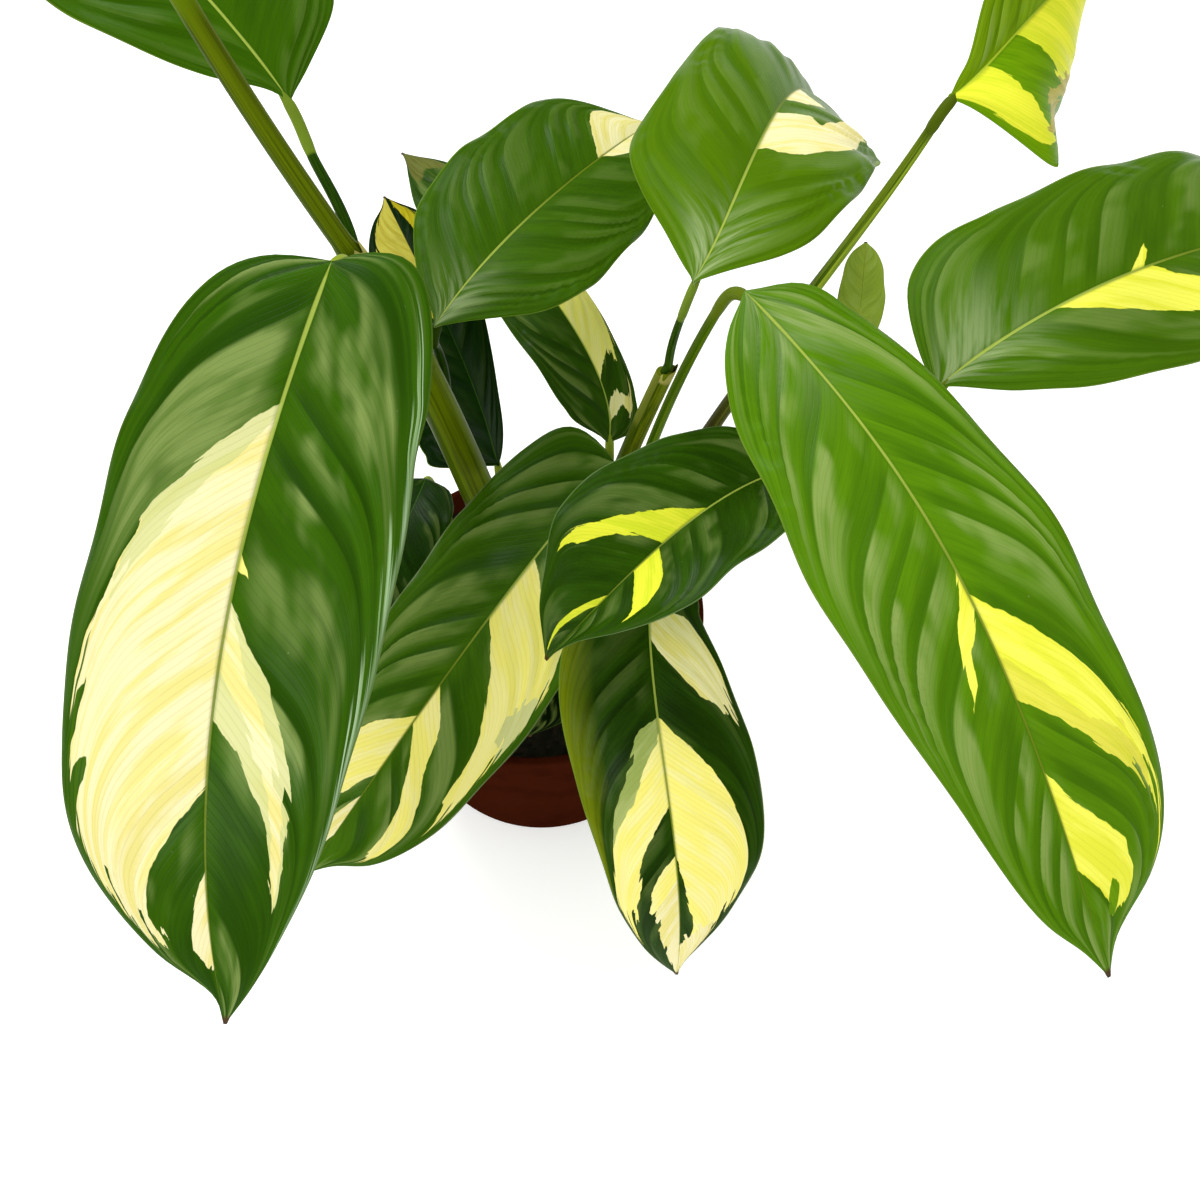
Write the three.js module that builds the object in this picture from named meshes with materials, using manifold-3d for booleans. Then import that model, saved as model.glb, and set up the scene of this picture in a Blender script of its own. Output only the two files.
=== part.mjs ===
// A golden mosaic ctenanthe in its nursery pot: oblong variegated leaves on long stalks,
// each stalk rooted in the soil or carried by one of two sheathed stems.
// Millimetres, +Z up, the origin at the centre of the pot's underside; the plant faces -Y.
import * as THREE from "three";
import { mergeVertices } from "three/addons/utils/BufferGeometryUtils.js";
import Module from "manifold-3d";

// The pot: a plastic nursery pot, 14 cm wide, with a thin lip and a ring of drain holes
const POT_HEIGHT = 103;
const RIM_RADIUS = 70.5;
const FOOT_RADIUS = 57;
const WALL = 1.8;
const FLOOR = 2.4;
const LIP_WIDTH = 1.2;
const LIP_HEIGHT = 5;
const EDGE_ROUND = 0.8;
const DRAIN_COUNT = 8;
const DRAIN_RADIUS = 4;
const DRAIN_CIRCLE = 30;
const DRAIN_SIDES = 12;
const POT_SEGMENTS = 40;

// The soil: its surface below the rim, and how much that surface rises and falls
const SOIL_DROP = 10;
const SOIL_LUMP = 1.3;
const SOIL_RINGS = 6;
const SOIL_TOP = POT_HEIGHT - SOIL_DROP;

// How far a stalk runs straight down from its foot, and the gap that pieces keep where they touch
const ROOT_DEPTH = 19;
const SEAT_GAP = 0.3;

// Blades: thickness, keel of the rib on the underside, the half width of the point, the distance
// from the rib over which the thickness turns square to a sloping half, and the margin's slow wave
const BLADE_THICKNESS = 0.8;
const RIB_KEEL = 1.5;
const POINT_HALF_WIDTH = 0.5;
const THICKNESS_RUN = 3;
const MARGIN_WAVES = 4.5;

// The share of a blade, from its base, over which a base lobe is set back past the knee, and the
// factor that brings the highest value of t(1 - t)^2, the lobe's course, up to one
const LOBE_REACH = 0.15;
const LOBE_PEAK = 6.75;

// Places along a blade (0 at its base, 1 at its tip) where its half widths are given
const STATIONS = [0, 0.03, 0.1, 0.25, 0.45, 0.65, 0.8, 0.9, 0.955, 1];

// Rows along and columns across a blade's mesh, as shares of its length and half width
const LONG_ROWS = [0, 0.015, 0.04, 0.09, 0.16, 0.25, 0.34, 0.44, 0.54, 0.64, 0.73, 0.8, 0.87, 0.92, 0.955, 1];
const SHORT_ROWS = [0, 0.03, 0.07, 0.14, 0.25, 0.38, 0.52, 0.65, 0.78, 0.88, 0.955, 1];
const COLUMNS = [-1, -0.6, -0.08, 0, 0.08, 0.6, 1];
const SHORT_LEAF = 150;

// Sides and steps of the stalks, of the knees at their ends, and of the stems
const STALK_SIDES = 6;
const STEM_SIDES = 10;
const STALK_STEPS = 8;
const KNEE_STEPS = 5;
const STEM_STEPS = 20;

// The knee under a blade: its swelling, how round its bend is, and how deep it ends in the keel
const KNEE_SWELL = 1.15;
const KNEE_BEND = 0.42;
const KNEE_END_DEPTH = 1.1;
const KNEE_END_RADIUS = 0.9;

// Stems: four points that the axis passes, the share of its length and the radius at each change
const STEMS = {
  stem_left: {
    parts: [
      [[-3, 2, 98], [-15, 0, 175], [-28, -4, 255], [-44, -13, 331]],
      [[-44, -13, 331], [-60, -4, 362], [-78, 9, 398], [-97, 26, 440]],
    ],
    radii: [[0, 6.5], [0.2, 6.5], [0.5, 5.8], [0.66, 4], [0.68, 3.1], [1, 2.9]],
  },
  stem_centre: {
    parts: [[[17, -1, 98], [24, -1.5, 150], [33.7, -1, 202], [48.4, 3, 257]]],
    radii: [[0, 4.6], [0.5, 3.6], [1, 2.9]],
  },
};

// Leaves, in millimetres and degrees. rib: four points that the midrib passes, from base to tip.
// left and right, as seen from above along the rib: half widths at the stations, and the slopes
// of that half beside the rib and at its margin, at the base and, where they differ, at the tip.
// roll: turn about the rib at the base and at the tip, positive with the left half raised.
// lobe: how far the left and the right half are set back past the blade's base.
// stalk: four points from the foot to the knee; thick: its radius at the foot and at the knee.
const LEAVES = {
  leaf_front_left: {
    rib: [[-45, -31, 347], [-63, -99, 327], [-71, -162, 304], [-69, -213, 263]],
    left: { widths: [0, 16, 33, 39, 41, 36, 27, 16, 8, 0], slopes: [10, -15] },
    right: { widths: [0, 17, 34, 40, 40, 39, 31, 15, 2, 0], slopes: [10, -15] },
    roll: [0, 0],
    lobe: [15, 4],
    wave: 1.2,
    stalk: [[-43, -13, 322], [-43, -16, 328], [-44, -20, 333], [-44, -23, 337]],
    thick: [2.2, 1.8],
    seat: "stem_left",
    colour: "#3d6b1c",
  },
  leaf_front_low_left: {
    rib: [[32, -4, 216], [-3, -52, 210], [-35, -96, 197], [-72, -137, 164]],
    left: { widths: [0, 8, 16, 31, 35, 33, 27, 17, 6, 0], slopes: [10, -15] },
    right: { widths: [0, 17, 30, 33, 32, 28, 22, 12, 4, 0], slopes: [10, -15] },
    roll: [0, 0],
    lobe: [0, 11],
    wave: 1.2,
    stalk: [[5, -11, 98], [10, -12, 140], [17, -8, 180], [27, -4, 203]],
    thick: [2.3, 1.7],
    seat: "soil",
    colour: "#35631a",
  },
  leaf_front_centre: {
    rib: [[44, -54, 221], [45, -100, 217], [51, -140, 194], [53, -167, 147]],
    left: { widths: [0, 13, 17, 24, 30, 29, 18, 7, 2, 0], slopes: [10, -20] },
    right: { widths: [0, 16, 25, 31, 29, 24, 19, 12, 6, 0], slopes: [10, -20] },
    roll: [0, 0],
    wave: 1.2,
    stalk: [[20, -16, 98], [31, -21, 140], [41, -29, 182], [44, -43, 212]],
    thick: [2.2, 1.6],
    seat: "soil",
    colour: "#2f5a16",
  },
  leaf_front_right: {
    rib: [[68, -23, 326], [109, -81, 315], [136, -138, 297], [163, -198, 253]],
    left: { widths: [0, 14, 22, 28, 34, 34, 34, 21, 6, 0], slopes: [10, -15] },
    right: { widths: [0, 12, 25, 34, 38, 30, 21, 13, 5, 0], slopes: [10, -15] },
    roll: [0, 0],
    wave: 1.2,
    stalk: [[25, -6, 98], [34, -8, 170], [46, -9, 240], [61.5, -13, 305]],
    thick: [2.3, 1.7],
    seat: "soil",
    colour: "#4c7a1e",
  },
  leaf_centre_small: {
    rib: [[89, -28, 245], [61, -46, 249], [34, -71, 246], [10, -93, 235]],
    left: { widths: [0, 19, 26, 29, 28, 26, 14, 4, 1, 0], slopes: [30, 15] },
    right: { widths: [0, 10, 20, 26, 31, 31, 21, 13, 6, 0], slopes: [25, 5] },
    roll: [0, 0],
    wave: 0.8,
    stalk: [[31, -13, 98], [47, -16, 145], [71, -19, 192], [90, -22, 232]],
    thick: [2, 1.4],
    seat: "soil",
    colour: "#3f6f1c",
  },
  leaf_back_left: {
    rib: [[-26, 5, 278], [-6, 42, 276], [20, 81, 270], [48, 124, 255]],
    left: { widths: [0, 3, 14, 30, 35, 33, 29, 11, 2, 0], slopes: [15, -10] },
    right: { widths: [0, 5, 16, 31, 33, 30, 21, 11, 3, 0], slopes: [10, -15] },
    roll: [3, 15],
    wave: 1.2,
    stalk: [[-26, -3, 240], [-25, 4, 250], [-26, 7, 260], [-27, 5, 269]],
    thick: [2.2, 1.6],
    seat: "stem_left",
    colour: "#3a681c",
  },
  leaf_top_centre: {
    rib: [[55, -3, 308], [73, 46, 302], [94, 109, 280], [117, 154, 226]],
    left: { widths: [0, 6, 17, 39, 38, 38, 37, 18, 5, 0], slopes: [25, -30] },
    right: { widths: [0, 6, 21, 33, 39, 39, 38, 21, 5, 0], slopes: [10, -18] },
    roll: [-10, 36],
    wave: 1.2,
    stalk: [[49.6, 3.4, 260.7], [50.2, 2.4, 271], [51.2, 0.5, 281], [52.2, -2, 290]],
    thick: [1.6, 1.3],
    seat: "stem_centre",
    atEnd: true,
    colour: "#4a751f",
  },
  leaf_right: {
    rib: [[133, -18, 276], [190, 18, 284], [248, 50, 271], [300, 83, 241]],
    left: { widths: [0, 11, 37, 42, 44, 44, 38, 20, 7, 0], slopes: [15, -10] },
    right: { widths: [0, 3, 18, 34, 39, 37, 28, 15, 4, 0], slopes: [13, -20] },
    roll: [0, 0],
    lobe: [4, 3],
    wave: 1.2,
    stalk: [[37, -5, 98], [67, -8, 165], [100, -16, 225], [125, -22, 264]],
    thick: [2.4, 1.7],
    seat: "soil",
    colour: "#39661c",
  },
  leaf_top_right: {
    rib: [[120, 5, 371], [136, 21, 374], [163, 54, 376], [197, 92, 370]],
    left: { widths: [0, 2, 5, 16, 24, 24, 18, 9, 3, 0], slopes: [53, 30] },
    right: { widths: [0, 7, 34, 30, 38, 27, 22, 13, 4, 0], slopes: [5, -70, -58, -110] },
    roll: [-10, 60],
    wave: 0.8,
    stalk: [[31, 6, 98], [64, 18, 195], [95, 17, 280], [116, 1, 363]],
    thick: [3.8, 1.5],
    seat: "soil",
    colour: "#7fa31c",
  },
  leaf_top_left: {
    rib: [[-62, 28, 349], [-97, 64, 370], [-140, 106, 375], [-185, 146, 360]],
    left: { widths: [0, 3, 15, 31, 38, 40, 30, 16, 4, 0], slopes: [10, -15] },
    right: { widths: [0, 11, 31, 39, 41, 37, 28, 14, 4, 0], slopes: [10, -15] },
    roll: [0, 0],
    wave: 1.2,
    stalk: [[-43, -11, 328], [-47, 0, 333], [-52, 9, 337], [-56, 16, 340]],
    thick: [1.9, 1.6],
    seat: "stem_left",
    colour: "#41701c",
  },
  leaf_summit: {
    rib: [[-108, 33, 463], [-155, 40, 478], [-203, 43, 474], [-247, 42, 448]],
    left: { widths: [0, 11, 22, 31, 34, 32, 25, 13, 4, 0], slopes: [12, -12] },
    right: { widths: [0, 11, 22, 31, 34, 32, 25, 13, 4, 0], slopes: [12, -12] },
    roll: [0, 0],
    wave: 1.2,
    stalk: [[-98.5, 27.4, 443.4], [-100, 29, 447], [-101.5, 30.4, 451], [-103, 31.5, 455]],
    thick: [2.2, 1.7],
    seat: "stem_left",
    atEnd: true,
    colour: "#41701c",
  },
  leaf_back_low_left: {
    rib: [[-11, 13, 190], [-23, 53, 190], [-40, 93, 196], [-63, 147, 193]],
    left: { widths: [0, 20, 26, 27, 24, 20, 16, 9, 3, 0], slopes: [10, -15] },
    right: { widths: [0, 2, 5, 9, 15, 19, 17, 10, 4, 0], slopes: [10, -15] },
    roll: [0, 0],
    wave: 0.8,
    stalk: [[1, 14, 98], [-2, 16, 128], [-6, 15, 156], [-10, 9, 180]],
    thick: [1.9, 1.4],
    seat: "soil",
    colour: "#24470f",
  },
  leaf_back_centre: {
    rib: [[30, 8, 211], [22, 43, 220], [-9, 92, 225], [-53, 148, 216]],
    left: { widths: [0, 10, 16, 20, 21, 20, 16, 8, 3, 0], slopes: [10, -15] },
    right: { widths: [0, 8, 11, 12, 14, 18, 15, 8, 3, 0], slopes: [10, -15] },
    roll: [0, 0],
    wave: 0.8,
    stalk: [[11, 8, 98], [16, 10, 135], [24, 9, 172], [30, 4, 201]],
    thick: [2, 1.5],
    seat: "soil",
    colour: "#2c5412",
  },
  leaf_young_right: {
    rib: [[113, 13, 257], [114, 24, 265], [115, 34, 271], [116, 44, 275]],
    left: { widths: [0, 3, 5, 8, 8, 7, 6, 4, 2, 0], slopes: [10, -10] },
    right: { widths: [0, 3, 5, 7, 8, 7, 6, 4, 2, 0], slopes: [10, -10] },
    roll: [0, 0],
    wave: 0.4,
    stalk: [[40, 4, 98], [71, 8, 160], [97, 9, 213], [111, 10, 249]],
    thick: [1.7, 1.2],
    seat: "soil",
    colour: "#8f9c4a",
  },
  leaf_low_left: {
    rib: [[-39, 13, 181], [-45, -9, 183], [-54, -32, 178], [-65, -54, 166]],
    left: { widths: [0, 8, 13, 16, 17, 16, 12, 7, 3, 0], slopes: [10, -15] },
    right: { widths: [0, 8, 13, 16, 17, 16, 12, 7, 3, 0], slopes: [10, -15] },
    roll: [0, 0],
    wave: 0.8,
    stalk: [[-12, -9, 98], [-19, -4, 125], [-29, 6, 152], [-37, 15, 172]],
    thick: [1.8, 1.3],
    seat: "soil",
    colour: "#28500f",
  },
  leaf_low_centre: {
    rib: [[31, -38, 160], [22, -52, 165], [11, -66, 163], [1, -81, 152]],
    left: { widths: [0, 5, 9, 12, 13, 12, 9, 5, 2, 0], slopes: [10, -15] },
    right: { widths: [0, 5, 9, 12, 13, 12, 9, 5, 2, 0], slopes: [10, -15] },
    roll: [0, 0],
    wave: 0.5,
    stalk: [[27, -26, 98], [28, -28, 115], [30, -31, 134], [33, -35, 152]],
    thick: [1.6, 1.2],
    seat: "soil",
    colour: "#1d3d0c",
  },
};

const POT_COLOUR = "#7a3220";
const SOIL_COLOUR = "#2a1c12";
const STEM_COLOURS = { stem_left: "#6f7a26", stem_centre: "#6a7d2c" };

const wasm = await Module();
wasm.setup();

const toVector = (point) => new THREE.Vector3(...point);
const degrees = THREE.MathUtils.degToRad;
const blend = THREE.MathUtils.lerp;

// A closed three.js geometry as a solid that can be joined and cut
function solidOf(geometry) {
  const bare = geometry.index ? geometry.clone() : geometry;
  bare.deleteAttribute("normal");
  bare.deleteAttribute("uv");
  const merged = mergeVertices(bare, 1e-4);
  return new wasm.Manifold(
    new wasm.Mesh({
      numProp: 3,
      vertProperties: merged.attributes.position.array,
      triVerts: new Uint32Array(merged.index.array),
    }),
  );
}

// The solid's surface as a geometry
function geometryOf(solid) {
  const mesh = solid.getMesh();
  const geometry = new THREE.BufferGeometry();
  geometry.setAttribute("position", new THREE.BufferAttribute(mesh.vertProperties, 3));
  geometry.setIndex(new THREE.BufferAttribute(mesh.triVerts, 1));
  geometry.computeVertexNormals();
  return geometry;
}

// The smooth curve through four points, at a third of its run from one to the next
function curveThrough(points) {
  const [p0, p1, p2, p3] = points.map(toVector);
  const mix = (a, b, c, d) =>
    new THREE.Vector3()
      .addScaledVector(p0, a)
      .addScaledVector(p1, b)
      .addScaledVector(p2, c)
      .addScaledVector(p3, d)
      .divideScalar(6);
  return new THREE.CubicBezierCurve3(p0, mix(-5, 18, -9, 2), mix(2, -9, 18, -5), p3);
}

// A value that runs smoothly through the values given at the stations
function alongStations(values, place) {
  const slope = (i, j) => (values[j] - values[i]) / (STATIONS[j] - STATIONS[i]);
  const last = STATIONS.length - 1;
  const tangent = (i) => {
    if (i === 0) return slope(0, 1);
    if (i === last) return slope(last - 1, last);
    return (slope(i - 1, i) + slope(i, i + 1)) / 2;
  };
  let i = 0;
  while (i < last - 1 && place >= STATIONS[i + 1]) i += 1;
  const step = STATIONS[i + 1] - STATIONS[i];
  const t = (place - STATIONS[i]) / step;
  return (
    (2 * t ** 3 - 3 * t ** 2 + 1) * values[i] +
    (t ** 3 - 2 * t ** 2 + t) * step * tangent(i) +
    (3 * t ** 2 - 2 * t ** 3) * values[i + 1] +
    (t ** 3 - t ** 2) * step * tangent(i + 1)
  );
}

// A value that runs in straight lines through [place, value] pairs
function alongPairs(pairs, place) {
  const next = pairs.findIndex(([at]) => at >= place);
  if (next <= 0) return pairs[0][1];
  const [fromAt, from] = pairs[next - 1];
  const [toAt, to] = pairs[next];
  return blend(from, to, (place - fromAt) / (toAt - fromAt));
}

// The blade's frame at a place along its rib: the point, the way ahead, to the left and up
function ribFrame(leaf, curve, place) {
  const ahead = curve.getTangentAt(place);
  const heading = curve.getPoint(1).sub(curve.getPoint(0));
  const left = new THREE.Vector3(0, 0, 1).cross(heading);
  left.addScaledVector(ahead, -left.dot(ahead) / ahead.lengthSq()).normalize();
  const roll = degrees(blend(leaf.roll[0], leaf.roll[1], place));
  left.applyAxisAngle(ahead, roll);
  const up = ahead.clone().cross(left);
  return { point: curve.getPointAt(place), ahead, left, up };
}

// A point of the blade, at a depth below its upper face; across runs from -1, the right margin,
// to 1, the left
function bladePoint(leaf, curve, place, across, depth) {
  const { point, ahead, left, up } = ribFrame(leaf, curve, place);
  const half = across < 0 ? leaf.right : leaf.left;
  const [rise, fall, tipRise = rise, tipFall = fall] = half.slopes;
  const start = degrees(blend(rise, tipRise, place));
  const turn = degrees(blend(fall, tipFall, place)) - start;
  const reach = Math.abs(across);
  const width = Math.max(alongStations(half.widths, place), POINT_HALF_WIDTH);
  const end = start + turn * reach;
  const outward = (width * (Math.sin(end) - Math.sin(start))) / turn;
  const upward = (width * (Math.cos(start) - Math.cos(end))) / turn;
  const lobe = leaf.lobe ? leaf.lobe[across < 0 ? 1 : 0] : 0;
  const along = Math.min(1, place / LOBE_REACH);
  const setBack = lobe * reach * LOBE_PEAK * along * (1 - along) ** 2;
  const phase = across < 0 ? 0 : Math.PI / 2;
  const wave = leaf.wave * reach ** 3 * Math.sin(2 * Math.PI * MARGIN_WAVES * place + phase);
  const fade = Math.min(1, width / Math.max(...half.widths));
  const lean = end * Math.min(1, (width * reach) / THICKNESS_RUN);
  const beside = outward + depth * Math.sin(lean);
  const above = upward + wave * fade - depth * Math.cos(lean);
  return point
    .addScaledVector(ahead, -setBack)
    .addScaledVector(left, Math.sign(across) * beside)
    .addScaledVector(up, above);
}

// A blade as a closed sheet: the same triangles on both faces, and a keel under the rib
function bladeGeometry(leaf) {
  const curve = curveThrough(leaf.rib);
  const rows = curve.getLength() < SHORT_LEAF ? SHORT_ROWS : LONG_ROWS;
  const positions = [];
  for (const face of [0, 1]) {
    for (const place of rows) {
      for (const across of COLUMNS) {
        const keel = across === 0 ? RIB_KEEL * (1 - place) : 0;
        const depth = face * (BLADE_THICKNESS + keel);
        positions.push(...bladePoint(leaf, curve, place, across, depth).toArray());
      }
    }
  }
  const wide = COLUMNS.length;
  const under = rows.length * wide;
  const index = [];
  const quad = (a, b, c, d) => index.push(a, b, c, a, c, d);
  for (let row = 0; row < rows.length - 1; row += 1) {
    for (let column = 0; column < wide - 1; column += 1) {
      const a = row * wide + column;
      const b = a + wide;
      index.push(a, b + 1, a + 1, a, b, b + 1);
      index.push(under + a, under + a + 1, under + b + 1, under + a, under + b + 1, under + b);
    }
    const right = row * wide;
    const left = right + wide - 1;
    quad(right, under + right, under + right + wide, right + wide);
    quad(left, left + wide, under + left + wide, under + left);
  }
  for (let column = 0; column < wide - 1; column += 1) {
    const tip = under - wide + column;
    quad(column, column + 1, under + column + 1, under + column);
    quad(tip, under + tip, under + tip + 1, tip + 1);
  }
  const geometry = new THREE.BufferGeometry();
  geometry.setAttribute("position", new THREE.Float32BufferAttribute(positions, 3));
  geometry.setIndex(index);
  return geometry;
}

// Frames at places along a curve, each carried on from the one before without a twist
function framesAlong(curve, places) {
  const tangents = places.map((place) => curve.getTangentAt(place));
  let normal = new THREE.Vector3(0, 1, 0).cross(tangents[0]).normalize();
  return places.map((place, i) => {
    if (i > 0) {
      const turn = new THREE.Quaternion().setFromUnitVectors(tangents[i - 1], tangents[i]);
      normal = normal.clone().applyQuaternion(turn);
    }
    return { point: curve.getPointAt(place), normal, binormal: tangents[i].clone().cross(normal) };
  });
}

// A round rod bent along a curve, with its radius at each of the places along it
function rodGeometry(curve, places, radiusAt, sides) {
  const steps = places.length - 1;
  const rod = new THREE.CylinderGeometry(1, 1, 1, sides, steps);
  const frames = framesAlong(curve, places);
  const position = rod.attributes.position;
  for (let i = 0; i < position.count; i += 1) {
    const step = Math.round((position.getY(i) + 0.5) * steps);
    const { point, normal, binormal } = frames[step];
    const radius = radiusAt(places[step]);
    const moved = point
      .clone()
      .addScaledVector(normal, position.getX(i) * radius)
      .addScaledVector(binormal, -position.getZ(i) * radius);
    position.setXYZ(i, moved.x, moved.y, moved.z);
  }
  return rod;
}

// Places at even steps from one share of a curve to another, both of them included
const evenPlaces = (from, to, steps) =>
  Array.from({ length: steps + 1 }, (_, i) => blend(from, to, i / steps));

// The straight run of a rooted axis below the soil's surface
function rootLine(curve, depth) {
  const top = curve.getPoint(0);
  const foot = top.clone().addScaledVector(curve.getTangent(0), -depth);
  return new THREE.LineCurve3(foot, top);
}

// A leaf's stalk: its root where it has one, the stalk, and the knee that turns into the blade
function stalkCurve(leaf) {
  const stalk = curveThrough(leaf.stalk);
  const { point: base, ahead, up } = ribFrame(leaf, curveThrough(leaf.rib), STATIONS[1]);
  const knee = stalk.getPoint(1);
  base.addScaledVector(up, -KNEE_END_DEPTH);
  const bend = knee.distanceTo(base) * KNEE_BEND;
  const rising = knee.clone().addScaledVector(stalk.getTangent(1), bend);
  const arriving = base.clone().addScaledVector(ahead, -bend);
  const path = new THREE.CurvePath();
  if (leaf.seat === "soil") path.add(rootLine(stalk, ROOT_DEPTH));
  if (leaf.atEnd) {
    const stem = stemCurve(STEMS[leaf.seat]);
    const start = stem.getPoint(1).addScaledVector(stem.getTangent(1), SEAT_GAP);
    path.add(new THREE.LineCurve3(start, stalk.getPoint(0)));
  }
  path.add(stalk);
  path.add(new THREE.CubicBezierCurve3(knee, rising, arriving, base));
  return path;
}

function stalkSolid(leaf) {
  const path = stalkCurve(leaf);
  const kneeShare = 1 - path.curves.at(-1).getLength() / path.getLength();
  const [foot, top] = leaf.thick;
  const radii = [
    [0, foot],
    [kneeShare, top],
    [blend(kneeShare, 1, 0.3), top * KNEE_SWELL],
    [blend(kneeShare, 1, 0.7), top * KNEE_SWELL],
    [1, KNEE_END_RADIUS],
  ];
  const places = evenPlaces(0, kneeShare, STALK_STEPS);
  places.push(...evenPlaces(kneeShare, 1, KNEE_STEPS).slice(1));
  return solidOf(rodGeometry(path, places, (place) => alongPairs(radii, place), STALK_SIDES));
}

function stemCurve(stem) {
  const stretches = stem.parts.map(curveThrough);
  const path = new THREE.CurvePath();
  path.add(rootLine(stretches[0], ROOT_DEPTH));
  stretches.forEach((stretch) => path.add(stretch));
  return path;
}

function stemSolid(stem, clearance) {
  const radiusAt = (place) => alongPairs(stem.radii, place) + clearance;
  return solidOf(rodGeometry(stemCurve(stem), evenPlaces(0, 1, STEM_STEPS), radiusAt, STEM_SIDES));
}

function leafSolid(leaf) {
  const whole = solidOf(bladeGeometry(leaf)).add(stalkSolid(leaf));
  const beside = STEMS[leaf.seat] && !leaf.atEnd;
  return beside ? whole.subtract(stemSolid(STEMS[leaf.seat], SEAT_GAP)) : whole;
}

// The pot's wall: the outside radius at a height
const potRadius = (height) => blend(FOOT_RADIUS, RIM_RADIUS - LIP_WIDTH, height / POT_HEIGHT);

function potSolid() {
  const lipFoot = POT_HEIGHT - LIP_HEIGHT;
  const outline = [
    [0, 0],
    [FOOT_RADIUS - EDGE_ROUND, 0],
    [FOOT_RADIUS, EDGE_ROUND],
    [potRadius(lipFoot), lipFoot],
    [RIM_RADIUS - EDGE_ROUND / 2, lipFoot + EDGE_ROUND],
    [RIM_RADIUS, POT_HEIGHT - EDGE_ROUND],
    [RIM_RADIUS - EDGE_ROUND, POT_HEIGHT],
    [potRadius(POT_HEIGHT) - WALL, POT_HEIGHT],
    [potRadius(FLOOR) - WALL, FLOOR],
    [0, FLOOR],
  ].map(([radius, height]) => new THREE.Vector2(radius, height));
  let pot = solidOf(new THREE.LatheGeometry(outline, POT_SEGMENTS).rotateX(Math.PI / 2));
  for (let i = 0; i < DRAIN_COUNT; i += 1) {
    const turn = (2 * Math.PI * (i + 0.5)) / DRAIN_COUNT;
    const drain = new THREE.CylinderGeometry(DRAIN_RADIUS, DRAIN_RADIUS, 4 * FLOOR, DRAIN_SIDES);
    drain.rotateX(Math.PI / 2);
    drain.translate(DRAIN_CIRCLE * Math.cos(turn), DRAIN_CIRCLE * Math.sin(turn), 0);
    pot = pot.subtract(solidOf(drain));
  }
  return pot;
}

// The height of the soil's surface over a place: low lumps that die out at the wall
function soilHeight(x, y) {
  const lumps = Math.sin(x / 7.1 + 0.6) * Math.cos(y / 6.3) + Math.sin((x + y) / 11.7 - 1.1);
  return SOIL_TOP + SOIL_LUMP * 0.5 * lumps;
}

function soilSolid(rooted) {
  const bottom = FLOOR + SEAT_GAP;
  const radiusAt = (height) => potRadius(height) - WALL - SEAT_GAP;
  const outline = [[0, bottom], [radiusAt(bottom), bottom], [radiusAt(SOIL_TOP), SOIL_TOP]];
  for (let ring = SOIL_RINGS - 1; ring >= 0; ring -= 1) {
    outline.push([(radiusAt(SOIL_TOP) * ring) / SOIL_RINGS, SOIL_TOP]);
  }
  const points = outline.map(([radius, height]) => new THREE.Vector2(radius, height));
  const body = new THREE.LatheGeometry(points, POT_SEGMENTS).rotateX(Math.PI / 2);
  const position = body.attributes.position;
  for (let i = 0; i < position.count; i += 1) {
    const [x, y, z] = [position.getX(i), position.getY(i), position.getZ(i)];
    const inner = Math.hypot(x, y) < radiusAt(SOIL_TOP) - 1;
    if (z > SOIL_TOP - 1 && inner) position.setZ(i, soilHeight(x, y));
  }
  let soil = solidOf(body);
  for (const { curve, radius, sides } of rooted) {
    const above = 3 * SOIL_LUMP;
    const line = rootLine(curve, ROOT_DEPTH + SEAT_GAP);
    const end = line.v2.clone().addScaledVector(line.getTangent(0), above);
    const hole = new THREE.LineCurve3(line.v1, end);
    const wide = radius + SEAT_GAP / Math.cos(Math.PI / sides);
    soil = soil.subtract(solidOf(rodGeometry(hole, [0, 1], () => wide, sides)));
  }
  return soil;
}

// Every rooted axis, with the radius of its foot
function rootedAxes() {
  const stems = Object.values(STEMS).map((stem) => ({
    curve: curveThrough(stem.parts[0]),
    radius: stem.radii[0][1],
    sides: STEM_SIDES,
  }));
  const stalks = Object.values(LEAVES)
    .filter((leaf) => leaf.seat === "soil")
    .map((leaf) => ({ curve: curveThrough(leaf.stalk), radius: leaf.thick[0], sides: STALK_SIDES }));
  return [...stems, ...stalks];
}

const plant = new THREE.Group();

function addPiece(name, solid, colour, roughness) {
  const material = new THREE.MeshStandardMaterial({ color: colour, roughness, metalness: 0 });
  const mesh = new THREE.Mesh(geometryOf(solid), material);
  mesh.name = name;
  plant.add(mesh);
}

addPiece("pot", potSolid(), POT_COLOUR, 0.55);
addPiece("soil", soilSolid(rootedAxes()), SOIL_COLOUR, 0.95);
for (const [name, stem] of Object.entries(STEMS)) {
  addPiece(name, stemSolid(stem, 0), STEM_COLOURS[name], 0.5);
}
for (const [name, leaf] of Object.entries(LEAVES)) {
  addPiece(name, leafSolid(leaf), leaf.colour, 0.38);
}

export default plant;
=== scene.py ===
import logging
import math
from collections.abc import Callable
from dataclasses import dataclass, field
from enum import Enum

import bmesh
import bpy
from bmesh.types import BMEdge, BMesh, BMFace, BMVert
from bpy.types import Material, Node, NodeSocket, NodeTree, Object
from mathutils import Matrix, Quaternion, Vector
from mathutils.geometry import interpolate_bezier
from mathutils.noise import noise


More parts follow.
